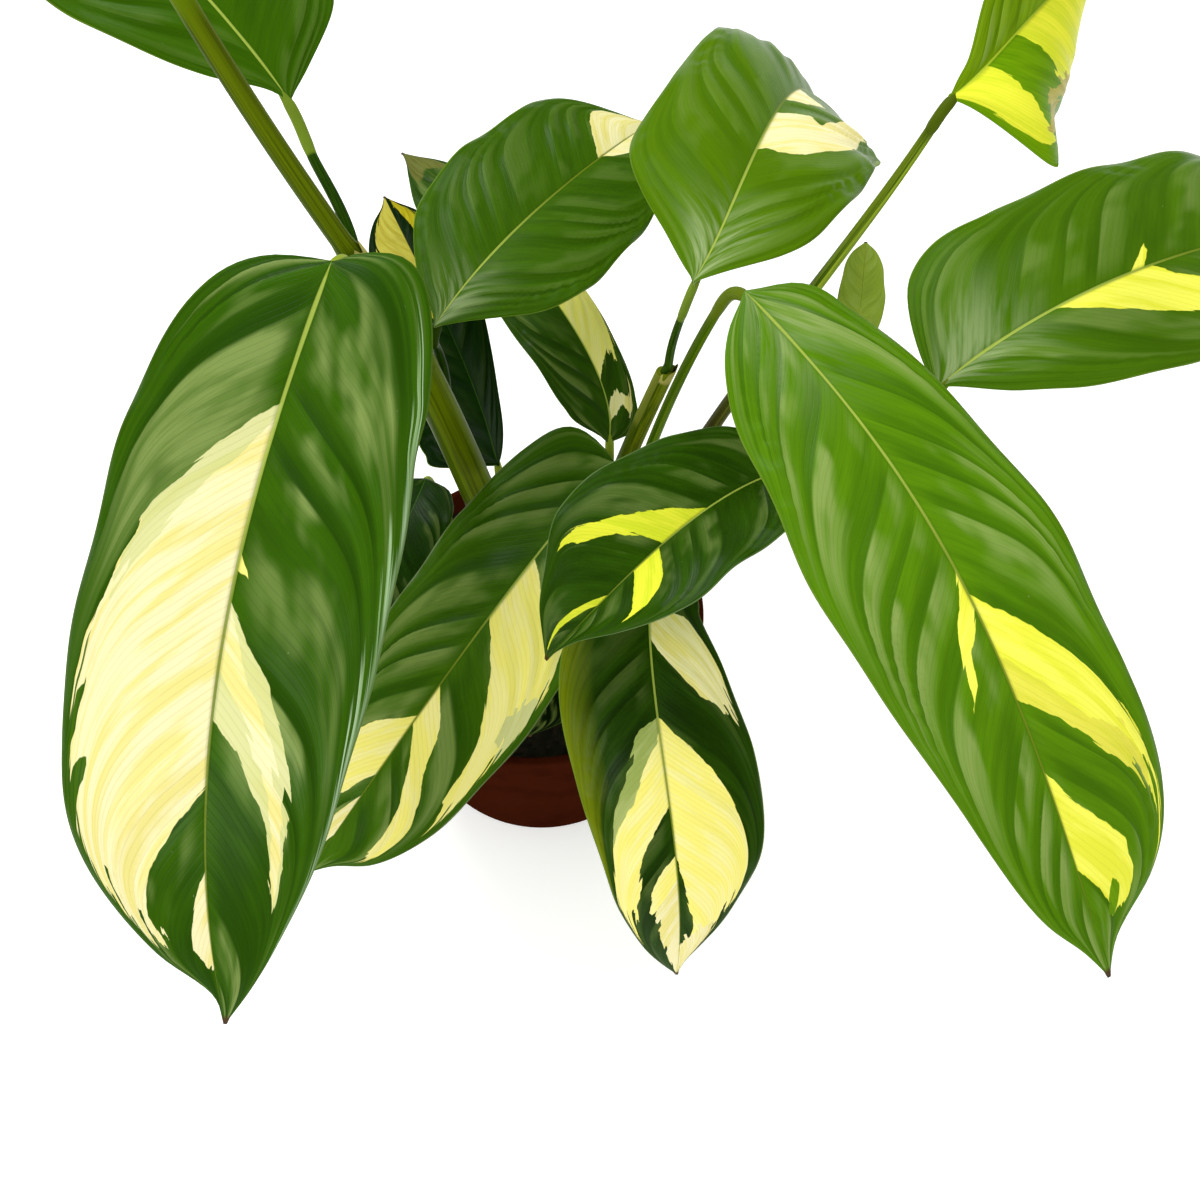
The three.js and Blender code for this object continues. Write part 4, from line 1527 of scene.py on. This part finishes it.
STEMS = (
    Stem(
        "stem_left",
        parts=(
            ((-3, 2, 98), (-15, 0, 175), (-28, -4, 255), (-44, -13, 331)),
            ((-44, -13, 331), (-60, -4, 362), (-78, 9, 398), (-97, 26, 440)),
        ),
        radii=((0, 6.5), (0.2, 6.5), (0.5, 5.8), (0.66, 4), (0.68, 3.1), (1, 2.9)),
        skin=StalkSkin("stem_left_skin", "5c6e03", "424f02", "5c7404", shade_to=0.34),
        sheath=(0.5, 0.665),
    ),
    Stem(
        "stem_centre",
        parts=(((17, -1, 98), (24, -1.5, 150), (33.7, -1, 202), (48.4, 3, 257)),),
        radii=((0, 4.6), (0.5, 3.6), (1, 2.9)),
        skin=StalkSkin("stem_centre_skin", "66740a", "424f03", "6c7424"),
    ),
)

R, L = Side.RIGHT, Side.LEFT

LEAVES: dict[str, tuple[LeafShape, LeafFinish]] = {
    "leaf_front_left": (
        LeafShape(
            rib=((-45, -31, 347), (-63, -99, 327), (-71, -162, 304), (-69, -213, 263)),
            stalk=((-43, -13, 322), (-43, -16, 328), (-44, -20, 333), (-44, -23, 337)),
            left=(0, 16, 33, 39, 41, 36, 27, 16, 8, 0),
            right=(0, 17, 34, 40, 40, 39, 31, 15, 2, 0),
            thick=(2.2, 1.8), seat="stem_left", lobe=(15, 4), ripples=6.5, ripple_height=1.3,
        ),
        LeafFinish(green="376002", dark="204202", seed=0.3, rim="567428", sheen=0.66, folds=0.8),
    ),
    "leaf_front_low_left": (
        LeafShape(
            rib=((32, -4, 216), (-3, -52, 210), (-35, -96, 197), (-72, -137, 164)),
            stalk=((5, -11, 98), (10, -12, 140), (17, -8, 180), (27, -4, 203)),
            left=(0, 8, 16, 31, 35, 33, 27, 17, 6, 0),
            right=(0, 17, 30, 33, 32, 28, 22, 12, 4, 0),
            thick=(2.3, 1.7), lobe=(0, 11),
        ),
        LeafFinish(green="406805", dark="264a03", seed=1.7, rim="7c8c5c", sheen=0.5, folds=0.75),
    ),
    "leaf_front_centre": (
        LeafShape(
            rib=((44, -54, 221), (45, -100, 217), (51, -140, 194), (53, -167, 147)),
            stalk=((20, -16, 98), (31, -21, 140), (41, -29, 182), (44, -43, 212)),
            left=(0, 13, 17, 24, 30, 29, 18, 7, 2, 0),
            right=(0, 16, 25, 31, 29, 24, 19, 12, 6, 0),
            left_slopes=(10, -20), right_slopes=(10, -20), thick=(2.2, 1.6), ripples=8,
            ripple_height=0.8,
        ),
        # Green darkened to paint the shade that the leaf above casts on this leaf
        LeafFinish(green="284803", dark="0c2001", seed=2.9, sheen=0.16, folds=0.5),
    ),
    "leaf_front_right": (
        LeafShape(
            rib=((68, -23, 326), (109, -81, 315), (136, -138, 297), (163, -198, 253)),
            stalk=((25, -6, 98), (34, -8, 170), (46, -9, 240), (61.5, -13, 305)),
            left=(0, 14, 22, 28, 34, 34, 34, 21, 6, 0),
            right=(0, 12, 25, 34, 38, 30, 21, 13, 5, 0),
            thick=(2.3, 1.7), ripples=11, ripple_height=1.2,
        ),
        LeafFinish(
            green="588605", dark="396203", seed=4.1, stalk="5c7208", knee="5a6c12", sheen=0.68,
            folds=0.75, base_sheen=0.3,
        ),
    ),
    "leaf_centre_small": (
        LeafShape(
            rib=((89, -28, 245), (61, -46, 249), (34, -71, 246), (10, -93, 235)),
            stalk=((31, -13, 98), (47, -16, 145), (71, -19, 192), (90, -22, 232)),
            left=(0, 19, 26, 29, 28, 26, 14, 4, 1, 0),
            right=(0, 10, 20, 26, 31, 31, 21, 13, 6, 0),
            left_slopes=(30, 15), right_slopes=(25, 5), thick=(2, 1.4), wave=0.8, ripples=8,
            ripple_height=0.8,
        ),
        LeafFinish(green="2e5202", dark="183401", seed=5.3, rim="6c8450", sheen=0.28, folds=0.5),
    ),
    "leaf_back_left": (
        LeafShape(
            rib=((-26, 5, 278), (-6, 42, 276), (20, 81, 270), (48, 124, 255)),
            stalk=((-26, -3, 240), (-25, 4, 250), (-26, 7, 260), (-27, 5, 269)),
            left=(0, 3, 14, 30, 35, 33, 29, 11, 2, 0),
            right=(0, 5, 16, 31, 33, 30, 21, 11, 3, 0),
            left_slopes=(15, -10), thick=(2.2, 1.6), seat="stem_left", roll=(3, 15), ripples=10,
        ),
        LeafFinish(
            green="3e6405", dark="284a03", seed=6.1, stalk="1c3004", knee="2c4206", sheen=0.15,
            folds=0.4, base_sheen=0.5, gloss=0.05,
        ),
    ),
    "leaf_top_centre": (
        LeafShape(
            rib=((55, -3, 308), (73, 46, 302), (94, 109, 280), (117, 154, 226)),
            stalk=((49.6, 3.4, 260.7), (50.2, 2.4, 271), (51.2, 0.5, 281), (52.2, -2, 290)),
            left=(0, 6, 17, 39, 38, 38, 37, 18, 5, 0),
            right=(0, 6, 21, 33, 39, 39, 38, 21, 5, 0),
            left_slopes=(25, -30), right_slopes=(10, -18), thick=(1.6, 1.3), seat="stem_centre",
            at_end=True, roll=(-10, 36),
        ),
        LeafFinish(
            green="527804", dark="406404", seed=7.7, stalk="1c3806", knee="6c8428", sheen=0.16,
            folds=0.5, base_sheen=0.65, gloss=0.02,
        ),
    ),
    "leaf_right": (
        LeafShape(
            rib=((133, -18, 276), (190, 18, 284), (248, 50, 271), (300, 83, 241)),
            stalk=((37, -5, 98), (67, -8, 165), (100, -16, 225), (125, -22, 264)),
            left=(0, 11, 37, 42, 44, 44, 38, 20, 7, 0),
            right=(0, 3, 18, 34, 39, 37, 28, 15, 4, 0),
            left_slopes=(15, -10), right_slopes=(13, -20), thick=(2.4, 1.7), lobe=(4, 3),
        ),
        LeafFinish(
            green="4a7208", dark="365a05", seed=8.3, stalk="1a1208", knee="5c6c14", sheen=0.3,
            folds=0.6, base_sheen=0.55, gloss=0.03,
        ),
    ),
    "leaf_top_right": (
        LeafShape(
            rib=((120, 5, 371), (136, 21, 374), (163, 54, 376), (197, 92, 370)),
            stalk=((31, 6, 98), (64, 18, 195), (95, 17, 280), (116, 1, 363)),
            left=(0, 2, 5, 16, 24, 24, 18, 9, 3, 0),
            right=(0, 7, 34, 30, 38, 27, 22, 13, 4, 0),
            left_slopes=(53, 30), right_slopes=(5, -70, -58, -110), thick=(3.8, 1.5),
            roll=(-10, 60), wave=0.8, ripples=8, ripple_height=0.8,
        ),
        LeafFinish(
            green="7ca006", dark="3c6006", seed=9.1, rib="a8c030", stalk="9cb02c", knee="4a5c0a",
            foot=0.52, sheen=0.4, folds=0.6, gloss=0.02, slot="leaf_lime",
        ),
    ),
    "leaf_top_left": (
        LeafShape(
            rib=((-62, 28, 349), (-97, 64, 370), (-140, 106, 375), (-185, 146, 360)),
            stalk=((-43, -11, 328), (-47, 0, 333), (-52, 9, 337), (-56, 16, 340)),
            left=(0, 3, 15, 31, 38, 40, 30, 16, 4, 0),
            right=(0, 11, 31, 39, 41, 37, 28, 14, 4, 0),
            thick=(1.9, 1.6), seat="stem_left",
        ),
        LeafFinish(
            green="3a6202", dark="2c5002", seed=10.9, stalk="1c3604", knee="6c8424", sheen=0.14,
            folds=0.5, gloss=0.03,
        ),
    ),
    "leaf_summit": (
        LeafShape(
            rib=((-108, 33, 463), (-155, 40, 478), (-203, 43, 474), (-247, 42, 448)),
            stalk=((-98.5, 27.4, 443.4), (-100, 29, 447), (-101.5, 30.4, 451), (-103, 31.5, 455)),
            left=(0, 11, 22, 31, 34, 32, 25, 13, 4, 0),
            right=(0, 11, 22, 31, 34, 32, 25, 13, 4, 0),
            left_slopes=(12, -12), right_slopes=(12, -12), thick=(2.2, 1.7), seat="stem_left",
            at_end=True,
        ),
        LeafFinish(green="4f7c0c", dark="3d660a", seed=11.7),
    ),
    "leaf_back_low_left": (
        LeafShape(
            rib=((-11, 13, 190), (-23, 53, 190), (-40, 93, 196), (-63, 147, 193)),
            stalk=((1, 14, 98), (-2, 16, 128), (-6, 15, 156), (-10, 9, 180)),
            left=(0, 20, 26, 27, 24, 20, 16, 9, 3, 0),
            right=(0, 2, 5, 9, 15, 19, 17, 10, 4, 0),
            thick=(1.9, 1.4), wave=0.8, ripples=9,
        ),
        # Green darkened near black to paint the deep shade low inside the plant
        LeafFinish(
            green="0a2402", dark="051601", seed=12.1, rib="24400c", far_rib="1c3408", sheen=0.03,
            gloss=0.03, slot="leaf_dark",
        ),
    ),
    "leaf_back_centre": (
        LeafShape(
            rib=((30, 8, 211), (22, 43, 220), (-9, 92, 225), (-53, 148, 216)),
            stalk=((11, 8, 98), (16, 10, 135), (24, 9, 172), (30, 4, 201)),
            left=(0, 10, 16, 20, 21, 20, 16, 8, 3, 0),
            right=(0, 8, 11, 12, 14, 18, 15, 8, 3, 0),
            thick=(2, 1.5), wave=0.8, ripples=9,
        ),
        LeafFinish(green="305204", dark="1c3803", seed=13.3, gloss=0.1, slot="leaf_dark"),
    ),
    "leaf_young_right": (
        LeafShape(
            rib=((113, 13, 257), (114, 24, 265), (115, 34, 271), (116, 44, 275)),
            stalk=((40, 4, 98), (71, 8, 160), (97, 9, 213), (111, 10, 249)),
            left=(0, 3, 5, 8, 8, 7, 6, 4, 2, 0),
            right=(0, 3, 5, 7, 8, 7, 6, 4, 2, 0),
            left_slopes=(10, -10), right_slopes=(10, -10), thick=(1.7, 1.2), wave=0.4, ripples=4,
            ripple_height=0.2,
        ),
        LeafFinish(green="90a63a", dark="7a902c", seed=14.7, veins=30, slot="leaf_young"),
    ),
    "leaf_low_left": (
        LeafShape(
            rib=((-39, 13, 181), (-45, -9, 183), (-54, -32, 178), (-65, -54, 166)),
            stalk=((-12, -9, 98), (-19, -4, 125), (-29, 6, 152), (-37, 15, 172)),
            left=(0, 8, 13, 16, 17, 16, 12, 7, 3, 0),
            right=(0, 8, 13, 16, 17, 16, 12, 7, 3, 0),
            thick=(1.8, 1.3), wave=0.8, ripples=6, ripple_height=0.4,
        ),
        # Green darkened near black to paint the deep shade low inside the plant
        LeafFinish(
            green="1c3a04", dark="0e2402", seed=15.1, rib="345818", far_rib="2c4c10", veins=40,
            sheen=0.2, gloss=0.06, slot="leaf_dark",
        ),
    ),
    "leaf_low_centre": (
        LeafShape(
            rib=((31, -38, 160), (22, -52, 165), (11, -66, 163), (1, -81, 152)),
            stalk=((27, -26, 98), (28, -28, 115), (30, -31, 134), (33, -35, 152)),
            left=(0, 5, 9, 12, 13, 12, 9, 5, 2, 0),
            right=(0, 5, 9, 12, 13, 12, 9, 5, 2, 0),
            thick=(1.6, 1.2), wave=0.5, ripples=5, ripple_height=0.3,
        ),
        # Green darkened near black to paint the deep shade low inside the plant
        LeafFinish(
            green="081a03", dark="041002", seed=16.3, veins=30, gloss=0.03, slot="leaf_dark",
        ),
    ),
}

SECTORS: dict[str, tuple[Sector, ...]] = {
    "leaf_front_left": (
        Sector(
            R, Tone.CREAM, to_reach=0.93,
            low=(
                (0, 0.213), (0.25, 0.22), (0.55, 0.244), (0.77, 0.25),
                (0.8, 0.288), (0.9, 0.27), (1, 0.28),
            ),
            high=(
                (0, 0.7), (0.3, 0.713), (0.55, 0.731), (0.63, 0.74),
                (0.65, 0.785), (0.84, 0.674), (0.97, 0.45),
            ),
        ),
        Sector(
            R, Tone.PALE_GREEN, to_reach=0.77,
            low=((0.1, 0.21), (0.55, 0.24), (0.77, 0.248), (1, 0.25)),
            high=((0.1, 0.235), (0.3, 0.27), (0.6, 0.31), (0.8, 0.33), (1, 0.3)),
        ),
        Sector(
            L, Tone.PALE_GREEN, to_reach=0.74,
            low=(
                (0, 0.475), (0.2, 0.496), (0.36, 0.51), (0.5, 0.539),
                (0.6, 0.57), (0.65, 0.592), (0.7, 0.66), (1, 0.8),
            ),
            high=(
                (0, 0.62), (0.2, 0.622), (0.31, 0.636), (0.43, 0.646),
                (0.51, 0.666), (0.6, 0.695), (0.73, 0.706), (1, 0.6),
            ),
        ),
        Sector(
            L, Tone.CREAM, to_reach=0.72,
            low=((0, 0.475), (0.2, 0.53), (0.36, 0.55), (0.5, 0.58), (0.62, 0.62), (0.7, 0.69), (1, 0.8)),
            high=(
                (0, 0.56), (0.2, 0.575), (0.36, 0.6), (0.5, 0.63),
                (0.6, 0.695), (0.7, 0.706), (1, 0.6),
            ),
        ),
        Sector(
            L, Tone.MARGIN, to_reach=1.3, from_reach=0.955, fingers=0.03, blur=0.03,
            low=((0, -0.2), (1, -0.2)),
            high=((0, 0.5), (1, 0.5)),
        ),
        Sector(
            R, Tone.LEAF_GREEN, to_reach=1.1, from_reach=0.84, fingers=0.0, blur=0.005,
            low=((0.8, 0.38), (0.86, 0.355), (0.9, 0.32), (1, 0.28)),
            high=((0.8, 0.37), (0.86, 0.37), (0.9, 0.367), (0.93, 0.34), (1, 0.3)),
        ),
        Sector(
            R, Tone.LEAF_GREEN, to_reach=1.1, from_reach=0.81, fingers=0.0, blur=0.005,
            low=((0.8, 0.482), (0.86, 0.44), (0.94, 0.37), (1, 0.3)),
            high=((0.8, 0.484), (0.84, 0.482), (0.88, 0.46), (0.94, 0.42), (1, 0.36)),
        ),
        Sector(
            R, Tone.CREAM,
            low=((0, 0.8), (0.27, 0.85), (1, 1)),
            high=((0, 0.93), (0.15, 0.9), (0.27, 0.86), (1, 0.5)),
        ),
        Sector(
            L, Tone.BUTTER, fingers=0,
            low=((0, 0.412), (0.07, 0.424), (1, 0.6)),
            high=((0, 0.436), (0.07, 0.432), (1, 0.3)),
        ),
    ),
    "leaf_front_low_left": (
        Sector(
            L, Tone.BUTTER, to_reach=0.93, fingers=0.02,
            low=((0, 0.265), (0.38, 0.262), (0.7, 0.243), (0.9, 0.18), (1, 0.1)),
            high=(
                (0, 0.41), (0.33, 0.431), (0.56, 0.464), (0.73, 0.494),
                (0.8, 0.543), (0.94, 0.488), (1, 0.413),
            ),
        ),
        Sector(
            L, Tone.PALE_GREEN, to_reach=0.93, fingers=0.01,
            low=((0.7, 0.42), (0.79, 0.351), (0.84, 0.279), (0.89, 0.221), (1, 0.2)),
            high=((0.7, 0.38), (0.8, 0.41), (0.91, 0.33), (1, 0.26)),
        ),
        Sector(
            L, Tone.BUTTER, to_reach=0.86,
            low=((0, 0.565), (0.31, 0.579), (0.44, 0.633), (0.65, 0.649), (0.81, 0.637), (1, 0.7)),
            high=(
                (0, 0.655), (0.21, 0.667), (0.44, 0.7), (0.6, 0.732),
                (0.7, 0.748), (0.85, 0.7), (1, 0.5),
            ),
        ),
        Sector(
            R, Tone.BUTTER, to_reach=0.85,
            low=((0, 0.638), (0.4, 0.62), (1, 0.62)),
            high=((0, 0.77), (0.3, 0.785), (1, 0.7)),
        ),
        Sector(
            R, Tone.CREAM,
            low=((0, 0.82), (0.3, 0.84), (1, 0.9)),
            high=((0, 0.92), (0.3, 0.9), (1, 0.6)),
        ),
    ),
    "leaf_front_centre": (
        # Painted light shining through the blade towards its margin
        Sector(
            R, Tone.BACKLIT_GLOW, to_reach=1.4, from_reach=0.62, fingers=0, blur=0.45,
            low=((0, -1), (1, -1)),
            high=((0, 0.36), (1, 0.36)),
        ),
        Sector(
            L, Tone.BUTTER, to_reach=0.94, fingers=0.02,
            low=(
                (0, 0.345), (0.21, 0.357), (0.46, 0.371), (0.64, 0.41),
                (0.73, 0.444), (0.88, 0.47), (1, 0.48),
            ),
            high=(
                (0, 0.653), (0.11, 0.737), (0.3, 0.785), (0.33, 0.85),
                (0.79, 0.66), (0.93, 0.474), (1, 0.4),
            ),
        ),
        Sector(
            L, Tone.CREAM, to_reach=0.93, fingers=0.015,
            low=((0, 0.06), (0.51, 0.016), (0.79, -0.034), (0.9, -0.06), (1, -0.05)),
            high=((0, 0.17), (0.35, 0.194), (0.56, 0.209), (0.78, 0.18), (0.91, 0.098), (1, -0.1)),
        ),
        Sector(
            R, Tone.BUTTER,
            low=(
                (0, 0.345), (0.22, 0.352), (0.42, 0.396), (0.61, 0.412),
                (0.75, 0.433), (0.86, 0.445), (1, 0.38),
            ),
            high=(
                (0, 0.54), (0.24, 0.547), (0.45, 0.569), (0.59, 0.61),
                (0.71, 0.666), (0.9, 0.6), (1, 0.5),
            ),
        ),
        Sector(
            R, Tone.LIGHT_GREEN,
            low=(
                (0, 0.345), (0.2, 0.332), (0.36, 0.355), (0.44, 0.39),
                (0.61, 0.408), (0.75, 0.43), (1, 0.5),
            ),
            high=(
                (0, 0.372), (0.05, 0.395), (0.22, 0.412), (0.42, 0.45),
                (0.61, 0.452), (0.75, 0.446), (1, 0.4),
            ),
        ),
        Sector(
            R, Tone.CREAM, to_reach=0.42,
            low=((0, 0.7), (0.3, 0.71), (1, 0.8)),
            high=((0, 1.1), (1, 1.1)),
        ),
        Sector(
            R, Tone.BUTTER,
            low=((0, 0.652), (0.2, 0.648), (0.38, 0.658), (1, 0.9)),
            high=((0, 0.71), (0.3, 0.72), (0.46, 0.715), (1, 0.5)),
        ),
        Sector(L, Tone.CREAM, low=((0, 0.9), (0.35, 0.8), (1, 0.6)), high=((0, 1.0), (1, 0.8))),
    ),
    "leaf_front_right": (
        Sector(
            L, Tone.YELLOW, to_reach=0.97,
            low=((0, 0.5), (0.26, 0.5), (0.61, 0.509), (0.75, 0.508), (0.89, 0.496), (1, 0.44)),
            high=(
                (0, 0.64), (0.19, 0.634), (0.38, 0.63), (0.61, 0.642),
                (0.78, 0.623), (0.89, 0.566), (1, 0.5),
            ),
        ),
        Sector(
            L, Tone.LEMON, to_reach=0.85,
            low=((0, 0.58), (0.26, 0.585), (0.5, 0.6), (0.75, 0.57), (1, 0.5)),
            high=((0, 0.64), (0.19, 0.634), (0.38, 0.63), (0.61, 0.642), (0.78, 0.623), (1, 0.5)),
        ),
        Sector(
            L, Tone.YELLOW, to_reach=0.85,
            low=((0, 0.731), (0.11, 0.747), (0.36, 0.755), (0.59, 0.753), (0.65, 0.784), (1, 0.9)),
            high=((0, 0.86), (0.4, 0.862), (0.65, 0.8), (1, 0.6)),
        ),
        Sector(
            L, Tone.FRESH_GREEN, to_reach=0.52, from_reach=0.28, fingers=0.01,
            low=((0.28, 0.87), (0.36, 0.82), (0.46, 0.815), (0.5, 0.86), (1, 0.9)),
            high=((0.28, 0.85), (0.34, 0.875), (0.46, 0.85), (0.5, 0.82), (1, 0.8)),
        ),
        Sector(
            R, Tone.YELLOW, fingers=0.015,
            low=((0, 0.465), (0.09, 0.482), (0.24, 0.502), (0.36, 0.53), (0.41, 0.556), (1, 0.7)),
            high=((0, 0.52), (0.11, 0.532), (0.24, 0.532), (0.31, 0.554), (0.42, 0.56), (1, 0.4)),
        ),
    ),
    "leaf_centre_small": (
        Sector(
            R, Tone.LIME, to_reach=0.82,
            low=(
                (0, 0.325), (0.16, 0.363), (0.31, 0.399), (0.45, 0.449),
                (0.6, 0.492), (0.74, 0.506), (1, 0.52),
            ),
            high=((0, 0.506), (0.29, 0.506), (0.42, 0.538), (0.61, 0.577), (0.8, 0.55), (1, 0.5)),
        ),
        Sector(
            L, Tone.LIME, to_reach=0.75,
            low=((0, 0.523), (0.31, 0.521), (0.49, 0.536), (0.64, 0.58), (1, 0.7)),
            high=((0, 0.63), (0.44, 0.636), (0.73, 0.624), (1, 0.5)),
        ),
        Sector(
            R, Tone.LIME, fingers=0.01,
            low=((0, 0.74), (0.25, 0.8), (0.46, 0.86), (1, 1)),
            high=((0, 0.78), (0.2, 0.84), (0.46, 0.9), (1, 0.8)),
        ),
    ),
    "leaf_back_left": (
        Sector(L, Tone.CREAM, to_reach=1.2, low=((0, 0.715), (1, 0.72)), high=((0, 1.1), (1, 1.1))),
        Sector(
            R, Tone.CREAM, to_reach=0.6,
            low=((0, 0.72), (0.2, 0.746), (1, 0.9)),
            high=((0, 1.1), (1, 1.1)),
        ),
    ),
    "leaf_top_centre": (
        Sector(
            R, Tone.CREAM, to_reach=0.78, fingers=0.015,
            low=(
                (0, 0.36), (0.07, 0.356), (0.25, 0.325), (0.41, 0.316),
                (0.56, 0.336), (0.72, 0.356), (1, 0.4),
            ),
            high=((0, 0.51), (0.29, 0.506), (0.41, 0.475), (0.56, 0.61), (0.72, 0.58), (1, 0.5)),
        ),
        Sector(
            R, Tone.CREAM, to_reach=0.34,
            low=((0, 0.588), (0.19, 0.579), (0.35, 0.63)),
            high=((0, 0.72), (0.29, 0.64), (0.35, 0.6)),
        ),
    ),
    "leaf_right": (
        Sector(
            R, Tone.YELLOW, to_reach=0.9,
            low=((0, 0.235), (0.3, 0.253), (0.49, 0.289), (0.57, 0.318), (0.9, 0.4), (1, 0.45)),
            high=((0, 0.434), (0.19, 0.421), (0.5, 0.45), (1, 0.5)),
        ),
        Sector(
            L, Tone.YELLOW, fingers=0.01,
            low=((0, 0.386), (0.14, 0.406), (1, 0.5)),
            high=((0, 0.418), (0.14, 0.42), (1, 0.3)),
        ),
    ),
    "leaf_top_right": (
        Sector(
            R, Tone.FRESH_GREEN, to_reach=1.2,
            low=((0, -1), (1, -1)),
            high=((0, 1.2), (1, 1.2)),
        ),
        Sector(
            R, Tone.LIME, to_reach=0.8,
            low=((0, -0.5), (0.5, -0.12), (0.68, -0.07), (0.8, -0.12), (1, -0.3)),
            high=(
                (0, 0.133), (0.11, 0.132), (0.24, 0.122), (0.34, 0.102),
                (0.47, 0.074), (0.7, 0.011), (1, -0.1),
            ),
        ),
        Sector(
            R, Tone.LIME, to_reach=0.7,
            low=(
                (0, 0.233), (0.06, 0.249), (0.16, 0.248), (0.29, 0.243),
                (0.44, 0.223), (0.6, 0.195), (1, 0.1),
            ),
            high=((0, 1.2), (1, 1.2)),
        ),
        Sector(
            R, Tone.OLIVE, to_reach=0.86, from_reach=0.66,
            low=((0, 0), (1, 0)),
            high=((0, 1.2), (1, 1.2)),
        ),
    ),
    "leaf_summit": (
        Sector(
            L, Tone.CREAM, to_reach=0.9,
            low=((0, 0.3), (0.6, 0.33), (1, 0.4)),
            high=((0, 0.42), (0.6, 0.44), (1, 0.4)),
        ),
        Sector(
            R, Tone.CREAM, to_reach=0.85,
            low=((0, 0.5), (0.6, 0.53), (1, 0.6)),
            high=((0, 0.7), (0.6, 0.68), (1, 0.62)),
        ),
    ),
    "leaf_back_low_left": (
        Sector(L, Tone.OLIVE, to_reach=0.8, low=((0, 0.5), (1, 0.4)), high=((0, 1.2), (1, 1.2))),
        Sector(
            R, Tone.GOLD, to_reach=0.78, from_reach=0.3,
            low=((0, 0.62), (1, 0.55)),
            high=((0, 0.95), (0.7, 0.85), (1, 0.7)),
        ),
    ),
    "leaf_back_centre": (
        Sector(
            L, Tone.DRY, to_reach=1.3, blur=0.05,
            low=((0, 0.9), (1, 0.66)),
            high=((0, 1.2), (1, 1.2)),
        ),
        Sector(
            R, Tone.DRY, to_reach=1.3, blur=0.05,
            low=((0, 0.9), (1, 0.66)),
            high=((0, 1.2), (1, 1.2)),
        ),
        Sector(
            R, Tone.BUTTER, to_reach=1.2, fingers=0.02,
            low=((0, 0.151), (0.24, 0.142), (0.62, 0.104), (0.9, -0.023), (1, -0.11)),
            high=((0, 0.5), (1, 0.4)),
        ),
        Sector(
            R, Tone.CREAM, to_reach=0.88, fingers=0.012,
            low=((0, 0.045), (0.07, 0.05), (0.5, 0.0), (0.85, -0.125), (1, -0.2)),
            high=((0, 0.083), (0.16, 0.083), (0.45, 0.048), (0.86, -0.09), (1, -0.15)),
        ),
    ),
}


def main() -> None:
    """Builds the studio, the pot, the soil, the stems and the leaves."""
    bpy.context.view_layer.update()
    Studio().build()
    pot = Pot()
    pot.build()
    Soil(pot).build()
    stems = {stem.name: stem for stem in STEMS}
    for stem in STEMS:
        stem.build()
    patterns = LeafPatterns()
    for name, (shape, finish) in LEAVES.items():
        sectors = SECTORS.get(name, ())
        Leaf(name, shape, finish, sectors, patterns, stems.get(shape.seat)).build()
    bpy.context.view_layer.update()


if __name__ == "__main__":
    main()
